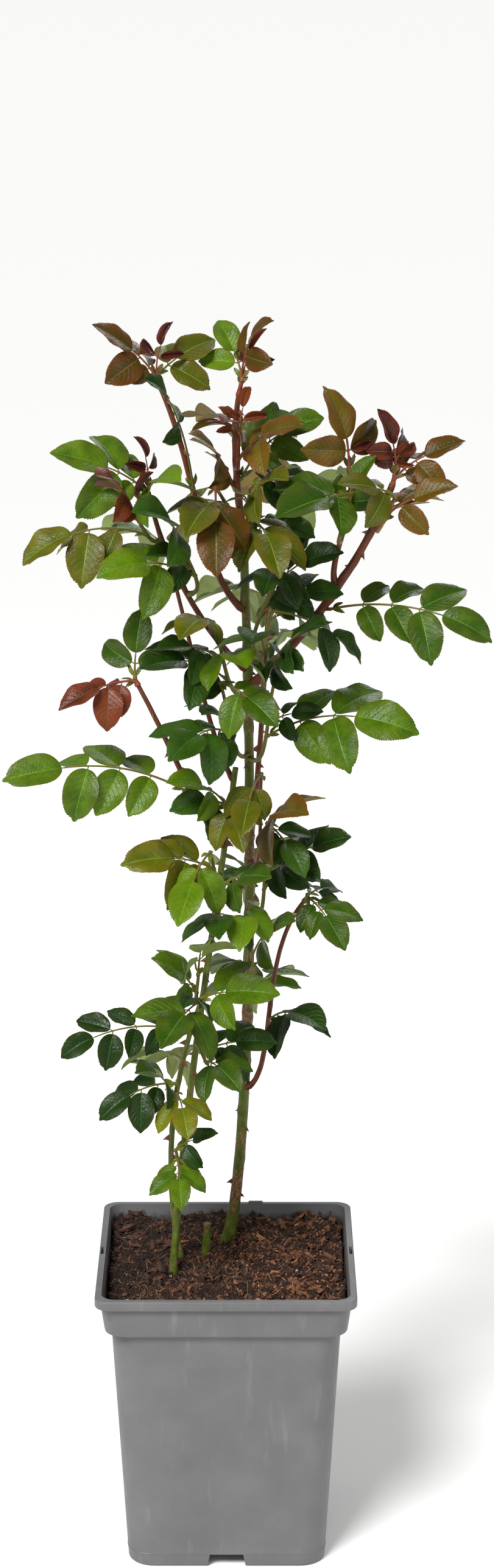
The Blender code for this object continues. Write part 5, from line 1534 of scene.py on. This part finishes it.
def darken_inside_dirt_and_shade(mesh):
    """Give the points that face inwards below the lip the tone of a wall darkened by dried compost and
    painted shade.
    """
    spots, faced = np.zeros((2, len(mesh.vertices) * 3), np.float32)
    mesh.vertices.foreach_get("co", spots)
    mesh.vertex_normals.foreach_get("vector", faced)
    spots, faced = spots.reshape(-1, 3), faced.reshape(-1, 3)
    inward = (spots[:, :2] * faced[:, :2]).sum(axis=1) < 0.0
    inside_dirt_and_shade = INSIDE_DIRT_AND_SHADE * (inward & (spots[:, 2] < POT_HEIGHT - 0.0005))
    mesh.attributes.new("tone", "FLOAT", "POINT").data.foreach_set("value", inside_dirt_and_shade)


BANK = 0.0075  # how much higher the compost lies along the back
BED_ROWS = 150
BED_DEPTH = 0.0145
BED_NARROWING = 0.982  # of the bed's floor, to its top
WALL_GAP = 0.0022  # from the collar's wall to the bed
BITS_OVER = 0.001  # how far past the bed's rim the pieces on it may lie
LUMPS = ((0.06, 0.002), (0.03, 0.0018), (0.015, 0.0015), (0.008, 0.0011), (0.005, 0.0005))

# Broken pieces on it: how many for how many bits asked for, least and greatest sizes, how far they
# tip, how deep they sit, colours, grain
BITS = {
    "crumbs_dark": (4, 5, ((0.0008, 0.0034), (0.0007, 0.0026), (0.0005, 0.002)), 0.6, 0.1,
                    ("28180e", "492e1d"), 0.002),
    "crumbs_brown": (2, 5, ((0.0008, 0.0036), (0.0007, 0.0026), (0.0004, 0.0018)), 0.6, 0.0,
                     ("4d2c1b", "744c31"), 0.002),
    "crumbs_tan": (1, 6, ((0.0008, 0.003), (0.0006, 0.0018), (0.0004, 0.0014)), 0.6, 0.0,
                   ("7e5031", "a8764e"), 0.002),
    "chips_dark": (1, 18, ((0.003, 0.012), (0.0016, 0.0055), (0.0009, 0.003)), 0.45, 0.1,
                   ("3a2113", "784c32"), 0.004),
    "chips_pale": (1, 50, ((0.003, 0.012), (0.0012, 0.0036), (0.0008, 0.0018)), 0.35, -0.1,
                   ("784529", "a46f44"), 0.003),
    "white_grains": (22, 9000, ((0.001, 0.0022), (0.001, 0.002), (0.001, 0.0018)), 0.6, 0.0,
                     ("b8b4aa", "dcd8ce"), 0.002),
}
THREADS = {"threads_dark": (420, ("3c2618", "5a3a26")), "threads_pale": (170, ("7c583a", "a67e56"))}
THREAD_LENGTHS = (0.005, 0.02)
THREAD_RADIUS = 0.00042
DAMP_AND_SHADE = 0.7  # of the broken pieces: most darkening, in moist patches and in painted shade towards the left


def compost_height(x, y):
    """Height of the compost: a low mound, higher along the back, with lumps as sums of sines."""
    far = np.maximum(np.abs(x), np.abs(y)) / (RIM_HALF - LIP_WALL)
    rng = np.random.default_rng(SEED)
    lumps = 0.0
    for wave, size in LUMPS:
        for _ in range(3):
            way = rng.uniform(0, 2 * math.pi)
            run = 2 * math.pi * (x * math.cos(way) + y * math.sin(way)) / wave
            lumps = lumps + size * np.sin(run + rng.uniform(0, 6.3))
    bank = BANK * np.clip((y - 0.02) / (RIM_HALF - LIP_WALL - 0.02), 0, 1) ** 1.3
    return SOIL_TOP - SOIL_DIP * np.clip((far - 0.55) / 0.45, 0, 1) ** 1.5 + bank + lumps * 0.8


def round_corners(x, y, half, corner=0.013):
    """Places in a square, with those in its corners drawn in to quarter circles."""
    mx, my = np.abs(x) - (half - corner), np.abs(y) - (half - corner)
    both = (mx > 0) & (my > 0)
    pull = np.where(both, np.maximum(mx, my) / np.maximum(np.hypot(mx, my), 1e-9), 1.0)
    return (np.where(both, np.sign(x) * (half - corner + mx * pull), x),
            np.where(both, np.sign(y) * (half - corner + my * pull), y))


def scatter(count, half, rng):
    """Places spread over the inside of the pot, and a random turn for each."""
    x, y = round_corners(*rng.uniform(-half, half, (2, count)), half)
    return x, y, rng.uniform(0, 2 * math.pi, count)


def tilted_frames(turn, tilt, roll):
    """Rotation matrices: about the upright axis by turn, then tipped by tilt and rolled by roll."""
    ct, st, ci, si, cr, sr = (np.cos(turn), np.sin(turn), np.cos(tilt), np.sin(tilt),
                              np.cos(roll), np.sin(roll))
    one, nil = np.ones_like(turn), np.zeros_like(turn)
    upright = np.stack([ct, -st, nil, st, ct, nil, nil, nil, one], axis=-1).reshape(-1, 3, 3)
    tipped = np.stack([ci, nil, si, nil, one, nil, -si, nil, ci], axis=-1).reshape(-1, 3, 3)
    rolled = np.stack([one, nil, nil, nil, cr, -sr, nil, sr, cr], axis=-1).reshape(-1, 3, 3)
    return upright @ tipped @ rolled


LUMP = np.array([(x, y, z) for x in (-0.5, 0.5) for y in (-0.5, 0.5) for z in (-0.5, 0.5)])
LUMP_QUADS = np.array([(0, 1, 3, 2), (4, 6, 7, 5), (0, 4, 5, 1), (2, 3, 7, 6), (0, 2, 6, 4),
                       (1, 5, 7, 3)])


def broken_bits(name, count, sizes, tilt, sink, finish, seed, half):
    """Many small split pieces lying on the compost: boxes with every corner moved at random."""
    rng = np.random.default_rng(seed)
    low, high = np.array(sizes).T
    x, y, turn = scatter(count, half - 0.45 * high[0], rng)
    share = rng.uniform(0, 1, (count, 1)) ** 1.6
    size = low + (high - low) * share * rng.uniform(0.7, 1.0, (count, 3))
    corners = LUMP[None] * size[:, None, :] * (1 + rng.uniform(-0.45, 0.45, (count, 8, 3)))
    corners[:, 4:] *= rng.uniform(0.35, 1.0, (count, 1, 1))
    frames = tilted_frames(turn, rng.normal(0, tilt, count), rng.normal(0, tilt * 1.6, count))
    corners = np.einsum("nij,nkj->nki", frames, corners)
    base = np.stack([x, y, compost_height(x, y) + size[:, 2] * (0.5 - sink)], axis=1)
    points = (corners + base[:, None, :]).reshape(-1, 3)
    quads = (LUMP_QUADS[None] + (np.arange(count) * 8)[:, None, None]).reshape(-1, 4)
    return make_piece(name, points, quads, [], [finish], smooth=False)


def fibres(name, count, lengths, radius, finish, seed, half):
    """Loose threads of bark: curved tubes of four sides that lie on the compost and rise at an end."""
    rng = np.random.default_rng(seed)
    x, y, turn = (one[:, None] for one in scatter(count, half, rng))
    s = np.linspace(-0.5, 0.5, 7)
    length = rng.uniform(*lengths, count)[:, None]
    angle = turn + rng.uniform(-1.6, 1.6, count)[:, None] * s
    px = x + np.cumsum(np.cos(angle) * (length / 6), axis=1) - np.cos(turn) * length / 2
    py = y + np.cumsum(np.sin(angle) * (length / 6), axis=1) - np.sin(turn) * length / 2
    px, py = np.clip(px, -half, half), np.clip(py, -half, half)
    lift = rng.uniform(0, 0.005, (count, 1)) * (s + 0.5) ** 2
    path = np.stack([px, py, compost_height(px, py) + 0.0007 + lift], axis=-1)
    level = np.stack([-np.sin(angle), np.cos(angle), np.zeros_like(angle)], axis=-1)
    thick = radius * rng.uniform(0.6, 1.3, (count, 1, 1)) * (1 - (2 * np.abs(s)) ** 3 * 0.7)[:, None]
    up = np.array([0.0, 0.0, 1.0]) * thick * 0.7
    ring = np.stack([path + level * thick, path + up, path - level * thick, path - up], axis=2)
    faces = np.vstack([grid_faces(7, 4, True), [(3, 2, 1, 0), (24, 25, 26, 27)]])
    quads = (faces[None] + (np.arange(count) * 28)[:, None, None]).reshape(-1, 4)
    return make_piece(name, ring.reshape(-1, 3), quads, [], [finish])


# Camera: lens for a sensor 36 mm wide, place, and degrees that it looks down
LENS = 76.96
CAMERA_PLACE = (0.016, -2.447, 1.281)
LOOK_DOWN = 15.26

# Lights: the sun's strength, softness and direction, then softboxes (place, aim, size, power)
SUN = (3.15, 20, (42, 0, -28))
SOFTBOXES = {"softbox_left": ((-1.6, -1.5, 1.9), (0, 0, 0.6), 1.0, 26),
             "softbox_right": ((1.7, -1.2, 1.2), (0, 0, 0.5), 1.0, 11),
             "softbox_back": ((0.6, 1.8, 2.0), (0, 0, 0.7), 1.2, 16)}
WORLD_STRENGTH = 0.3


# ---------- settings

class RoseSettings(bpy.types.PropertyGroup):
    """What a user would change in the rose's looks."""

    tooth: bpy.props.FloatProperty(
        name="Leaf Tooth", description="How far a tooth stands out of a leaflet's rim",
        default=0.0005, min=0.0, soft_max=0.003, unit="LENGTH", precision=4)
    quilt: bpy.props.FloatProperty(
        name="Leaf Quilting", description="Height of the pillows between side veins, to the length",
        default=0.01, min=0.0, soft_max=0.03, subtype="FACTOR")
    stalk_radius: bpy.props.FloatProperty(
        name="Stalk Radius", description="Radius of a leaf's stalk near its foot",
        default=0.001, min=0.0003, unit="LENGTH", precision=4)
    bark_sides: bpy.props.IntProperty(
        name="Bark Sides", description="Number of sides round a cane", default=28, min=8)
    bits: bpy.props.IntProperty(
        name="Compost Bits", description="Number of crumbs of bark on the compost", default=9000, min=0)
    pot_grey: bpy.props.StringProperty(
        name="Pot Colour", description="Colour of the pot as an sRGB hex value", default="5e5e5f")
    floor_tone: bpy.props.StringProperty(
        name="Floor Colour", description="Colour of the floor as an sRGB hex value", default="f7f7f6")


class RoseOperator:
    """What all the operators share."""

    bl_options = {"REGISTER", "UNDO"}


# ---------- operators

def put_in(name, data, place, turn):
    """Add a light or a camera to the scene at a place, turned by three angles."""
    made = bpy.data.objects.new(name, data)
    made.location = place
    made.rotation_euler = turn
    bpy.context.scene.collection.objects.link(made)
    return made


class ROSE_OT_leaves(RoseOperator, bpy.types.Operator):
    """Make the leaflets with toothed rims, a fold and quilted skin, joined by tint"""

    bl_idname = "rose.leaves"
    bl_label = "Leaflets"

    def execute(self, context):
        settings = context.scene.rose
        grid = blade_template(BLADE_ROWS, BLADE_COLUMNS)
        for tint, found in leaflets_by_tint().items():
            deep, light, edge, share, vein, midrib, under, under_light = TINT_SKINS[tint]
            finishes = [leaf_upper("living_leaf_" + tint, deep, light, edge, share, vein),
                        leaf_under("living_leaf_under_" + tint, under, under_light),
                        plain_grown("midrib_" + tint, midrib, light, 0.45, 0.02)]
            for part, first in enumerate(range(0, len(found), PIECE_LEAFLETS)):
                batch = found[first:first + PIECE_LEAFLETS]
                piece = join_blades(f"leaflets_{tint}_{part + 1}", [one for one, _, _ in batch],
                                    [tone for _, _, tone in batch], grid, finishes,
                                    settings.tooth, settings.quilt, (SEED, part))
                stand_for(piece, "leaf_" + tint, *sorted({name for _, name, _ in batch}))
        return {"FINISHED"}


class ROSE_OT_stalks(RoseOperator, bpy.types.Operator):
    """Make the shoots, the leaf stalks and the short stalks of the leaflets"""

    bl_idname = "rose.stalks"
    bl_label = "Shoots and Leaf Stalks"

    def execute(self, context):
        thick = context.scene.rose.stalk_radius
        _, sprays, leaves = plant()
        tubes = {"green": [], "red": []}
        owners = {"green": set(), "red": set()}
        for name, (shoot, own) in sprays.items():
            kind = rind_of(own[0])
            owners[kind].add(name)
            if shoot:
                places = np.linspace(0.0, 1.0, 16)
                path = shoot.point(places)
                path[0] = path[0] - shoot.seat_way * BOUGH_FOOT[0]
                flare = SHOOT_FLARE[0] * np.exp(-places * shoot.length / SHOOT_FLARE[1])
                radii = shoot.radius(places) * (0.92 + flare)
                tubes[kind].append(closed_tube(path, shoot.way(places), radii, 12))
        for name, leaf in leaves:
            kind = rind_of(leaf)
            owners[kind].add(name)
            slim = min(1.0, 0.35 + leaf.end.length / 0.05)
            places = np.linspace(0.0, 1.0, 20) ** 1.2
            path, ways = leaf.line(places)
            path[0] = path[0] - leaf.out * STALK_SINK
            flare = STALK_FLARE[0] * np.exp(-(places * leaf.stalk / STALK_FLARE[1]) ** 2)
            radii = thick * slim * (1.0 - 0.42 * places + flare)
            tubes[kind].append(closed_tube(path, ways, radii, 8))
            for one in leaf.leaflets():
                ends = one.root + one.way * PETIOLULE * np.array([[-0.2], [0.5], [1.3]])
                tubes[kind].append(closed_tube(ends, np.array([one.way] * 3),
                                               thick * slim * np.array([0.62, 0.55, 0.36]), 6))
        green = young_wood("leaf_stalk_rind_green", "566a20", "74502c", "6a4a30", 0.45, 3.0)
        red = young_wood("leaf_stalk_rind_red", "6c2c20", "844a30", "6a4a30", 0.42, 3.0)
        for kind, finish in (("green", green), ("red", red)):
            points, quads, triangles, uv = join_tubes(tubes[kind])
            piece = make_piece("stalks_" + kind, points, quads, triangles, [finish], uv=uv,
                               tone=np.zeros(len(points)))
            stand_for(piece, "cane_" + kind, *sorted(owners[kind]))
        return {"FINISHED"}


class ROSE_OT_stipules(RoseOperator, bpy.types.Operator):
    """Make the two narrow wings at the foot of each leaf's stalk"""

    bl_idname = "rose.stipules"
    bl_label = "Stipules"

    def execute(self, context):
        grid = blade_template(STIPULE_ROWS, STIPULE_COLUMNS)
        _, _, leaves = plant()
        rng = np.random.default_rng(SEED)
        for kind, tint in (("green", "olive"), ("red", "bronze")):
            wings, owners = [], set()
            for name, leaf in leaves:
                if rind_of(leaf) != kind:
                    continue
                root, way, up = leaf.axes(0.04)
                side = np.cross(way, up)
                for hand in (-1, 1):
                    go = unit(way + hand * side * rng.uniform(*WING_SPREAD))
                    wing = Leaflet(root - go * STALK_SINK, go, up, rng.uniform(*WING_LENGTHS), rng)
                    wing.width = WING_WIDTH
                    wings.append(wing)
                owners.add(name)
            skin = plain_grown("stipule_" + kind, *TINT_SKINS[tint][:2], 0.45, 0.01)
            piece = join_blades("stipules_" + kind, wings, [0.3] * len(wings), grid, [skin] * 3,
                                WING_TOOTH, 0.0, SEED)
            stand_for(piece, "leaf_" + tint, *sorted(owners))
        return {"FINISHED"}


class ROSE_OT_canes(RoseOperator, bpy.types.Operator):
    """Make the bark of the canes and the boughs, with a swelling at each bud"""

    bl_idname = "rose.canes"
    bl_label = "Canes and Boughs"

    def execute(self, context):
        limbs, _, _ = plant()
        sides = context.scene.rose.bark_sides
        green = young_wood("rose_rind_green", "404a14", "5f6a24", "8c6a48", 0.5, 0.95)
        red = young_wood("rose_rind_red", "4c2818", "70391f", "4a3222", 0.44, 0.78)
        for seed, (name, limb) in enumerate(limbs.items()):
            stem = name in STEMS
            path, ways, radii = bark_surface(limb, sides if stem else BOUGH_SIDES, limb_swellings(name),
                                             STEM_FOOT if stem else BOUGH_FOOT, seed)
            points, quads, triangles, uv = closed_tube(path, ways, radii, radii.shape[1])
            tone = np.zeros(len(points))
            if name in CORK:
                axis = np.vstack([np.repeat(path, radii.shape[1], axis=0), path[0], path[-1]])
                tone = cork_share(points, axis, CORK[name])
            piece = make_piece("bark_" + name, points, quads, triangles, [green if stem else red],
                               uv=uv, tone=tone)
            stand_for(piece, "cane_green" if stem else "cane_red", name)
        return {"FINISHED"}


class ROSE_OT_thorns(RoseOperator, bpy.types.Operator):
    """Make the hooked thorns along the canes and the boughs"""

    bl_idname = "rose.thorns"
    bl_label = "Thorns"

    def execute(self, context):
        limbs, _, _ = plant()
        rng = np.random.default_rng(SEED)
        found = []
        for limb in limbs.values():
            count = len(limb_thorns(limb))
            for i in range(MORE_THORNS * count):
                place = (i / MORE_THORNS + 0.6) / (count + 0.5)
                if place > THORN_LAST:
                    continue
                own, more = divmod(i, MORE_THORNS)
                way, side, out = thorn_frame(limb, place, GOLDEN * own + 40 + THORN_TURN * more)
                foot = limb.point(place) + out * limb.radius(place) * THORN_SEAT
                size = THORN_LENGTH * (rng.uniform(*THORN_SIZES) if more else 1.0)
                found.append((foot, way, side, out, size))
        points = thorn_surface(found)
        count, rows, columns = points.shape[:3]
        shift = (np.arange(count) * rows * columns)[:, None, None]
        quads = (grid_faces(rows, columns, True)[None] + shift).reshape(-1, 4)[:, ::-1]
        one = np.arange(1, columns - 1)
        first, last = np.zeros_like(one), np.full_like(one, (rows - 1) * columns)
        ends = np.hstack([(first, one + 1, one), (last, last + one, last + one + 1)]).T
        caps = (ends[None] + shift).reshape(-1, 3)[:, ::-1]
        tone = np.tile(np.repeat(np.linspace(0, 1, rows), columns), count)
        finish = plain_grown("thorn_horn", "5c2c1c", "7c4a30", 0.38, 0.006)
        piece = make_piece("thorns", points.reshape(-1, 3), quads, caps, [finish], tone=tone)
        stand_for(piece, "cane_red")
        return {"FINISHED"}


class ROSE_OT_pot(RoseOperator, bpy.types.Operator):
    """Make the moulded pot with its arches, drain holes and hand slots"""

    bl_idname = "rose.pot"
    bl_label = "Pot"

    def execute(self, context):
        plastic = moulded_plastic("moulded_polypropylene", context.scene.rose.pot_grey, "676768")
        inner = [(half, max(corner, 0.004), z) for half, corner, z in inner_rows(0.0, POT_HEIGHT + 0.004)]
        pot = shell("nursery_pot", pot_rows(), [plastic])
        inside = shell("pot_inside", inner, [plastic])
        cut_with(inside, arches(WALL, plastic))
        cut_with(pot, [inside] + arches(0.0, plastic) + drains(plastic) + slots(plastic))
        half, low, high = TAB_WIDTH / 2, POT_HEIGHT - TAB_HEIGHT, POT_HEIGHT + TAB_HEIGHT
        outline = [(TAB_MIDDLE - half, low), (TAB_MIDDLE + half, low),
                   (TAB_MIDDLE + half - TAB_SLOPE, high), (TAB_MIDDLE - half + TAB_SLOPE, high)]
        tab = wedge("stacking_tab", outline, RIM_HALF - LIP_WALL * 0.8, RIM_HALF - LIP_WALL * 0.3, 0.0,
                    [plastic])
        stand_for(tab, "pot_plastic", "pot")
        # Darken the inside with dried compost and painted shade
        darken_inside_dirt_and_shade(pot.data)
        pot.data.polygons.foreach_set("use_smooth", np.full(len(pot.data.polygons), True))
        pot.data.set_sharp_from_angle(angle=math.radians(POT_CREASE))
        stand_for(pot, "pot_plastic", "pot")
        return {"FINISHED"}


class ROSE_OT_compost(RoseOperator, bpy.types.Operator):
    """Make the compost: a lumpy bed under bark chips, crumbs, threads and a few white grains"""

    bl_idname = "rose.compost"
    bl_label = "Compost"

    def execute(self, context):
        rows = BED_ROWS
        inside = (COLLAR_FOOT_HALF + RIM_HALF - LIP_WALL) / 2 - WALL_GAP
        side = np.linspace(-inside, inside, rows)
        x, y = round_corners(*np.meshgrid(side, side), inside)
        top = np.stack([x, y, compost_height(x, y)], axis=-1).reshape(-1, 3)
        run = np.arange(rows - 1)
        edge = np.concatenate([run, run * rows + rows - 1, rows * rows - 1 - run,
                               (rows - 1 - run) * rows])
        ring = rows * rows + np.arange(len(edge))
        floor = SOIL_TOP - BED_DEPTH
        low = np.column_stack([top[edge, :2] * BED_NARROWING, np.full(len(edge), floor)])
        skirt = np.stack([edge, ring, np.roll(ring, -1), np.roll(edge, -1)], axis=1)
        under = np.stack([np.full(len(edge), ring[-1] + 1), np.roll(ring, -1), ring], axis=1)
        peat = plain_grown("peat_bed", "160d08", "2c1a12", 0.95, 0.0035, 0.6)
        bed = make_piece("compost_bed", np.vstack([top, low, [[0.0, 0.0, floor]]]),
                         np.vstack([grid_faces(rows, rows, False), skirt]), under, [peat])
        stand_for(bed, "compost", "soil")
        half = inside + BITS_OVER
        for seed, (name, (more, of, sizes, tilt, sink, colours, grain)) in enumerate(BITS.items()):
            finish = plain_grown("split_bark_" + name, *colours, 0.85, grain,
                                 0.0 if name == "white_grains" else DAMP_AND_SHADE)
            piece = broken_bits(name, context.scene.rose.bits * more // of, sizes, tilt, sink, finish,
                                (SEED, seed), half)
            stand_for(piece, "compost", "soil")
        for seed, (name, (number, colours)) in enumerate(THREADS.items()):
            finish = plain_grown("bark_" + name, *colours, 0.8, 0.003, 0.4)
            piece = fibres(name, number, THREAD_LENGTHS, THREAD_RADIUS, finish, (SEED, 90 + seed), half)
            stand_for(piece, "compost", "soil")
        return {"FINISHED"}


class ROSE_OT_stage(RoseOperator, bpy.types.Operator):
    """Make the pale floor, the soft lights and the camera"""

    bl_idname = "rose.stage"
    bl_label = "Floor, Lights and Camera"

    def execute(self, context):
        paper, _, shader = new_material("matt_paper_floor", Roughness=0.9, Specular_IOR_Level=0.1)
        shader.inputs["Base Color"].default_value = paint(context.scene.rose.floor_tone)
        reach = np.linspace(-40.0, 40.0, 9)
        x, y = np.meshgrid(reach, reach)
        floor = make_piece("floor", np.stack([x, y, np.full_like(x, -0.0004)], axis=-1).reshape(-1, 3),
                           grid_faces(9, 9, False), [], [paper])
        world = bpy.data.worlds.new("studio")
        world.use_nodes = True
        sky = world.node_tree.nodes["Background"].inputs
        sky["Color"].default_value = paint("ffffff")
        sky["Strength"].default_value = WORLD_STRENGTH
        context.scene.world = world
        sun = bpy.data.lights.new("key", "SUN")
        sun.energy = SUN[0]
        sun.angle = math.radians(SUN[1])
        put_in("key", sun, (0, 0, 0), [math.radians(turn) for turn in SUN[2]])
        for name, (place, aim, size, power) in SOFTBOXES.items():
            light = bpy.data.lights.new(name, "AREA")
            light.size = size
            light.energy = power
            away = np.array(place) - np.array(aim)
            put_in(name, light, place, (math.atan2(math.hypot(away[0], away[1]), away[2]), 0,
                                        math.atan2(away[0], -away[1])))
        view = bpy.data.cameras.new("camera")
        view.sensor_width = 36.0
        view.lens = LENS
        camera = put_in("camera", view, CAMERA_PLACE, (math.radians(90 - LOOK_DOWN), 0, 0))
        context.scene.camera = camera
        context.scene.view_settings.view_transform = "Standard"
        return {"FINISHED"}


class ROSE_PT_panel(bpy.types.Panel):
    """Sidebar panel with the settings and an operator for each group of pieces"""

    bl_idname = "ROSE_PT_panel"
    bl_label = "Potted Climbing Rose"
    bl_space_type = "VIEW_3D"
    bl_region_type = "UI"
    bl_category = "Rose"

    def draw(self, context):
        for name in RoseSettings.__annotations__:
            self.layout.prop(context.scene.rose, name)
        for operator in OPERATORS:
            self.layout.operator(operator.bl_idname)


OPERATORS = (ROSE_OT_stage, ROSE_OT_canes, ROSE_OT_thorns, ROSE_OT_leaves, ROSE_OT_stalks,
             ROSE_OT_stipules, ROSE_OT_pot, ROSE_OT_compost)


def register():
    """Register the settings, the operators and the panel."""
    bpy.utils.register_class(RoseSettings)
    bpy.types.Scene.rose = bpy.props.PointerProperty(type=RoseSettings)
    for operator in OPERATORS:
        bpy.utils.register_class(operator)
    bpy.utils.register_class(ROSE_PT_panel)


def unregister():
    """Undo register."""
    bpy.utils.unregister_class(ROSE_PT_panel)
    for operator in reversed(OPERATORS):
        bpy.utils.unregister_class(operator)
    del bpy.types.Scene.rose
    bpy.utils.unregister_class(RoseSettings)


def main():
    """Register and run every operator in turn."""
    register()
    for operator in OPERATORS:
        group, name = operator.bl_idname.split(".")
        getattr(getattr(bpy.ops, group), name)()
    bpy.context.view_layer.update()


if __name__ == "__main__":
    main()
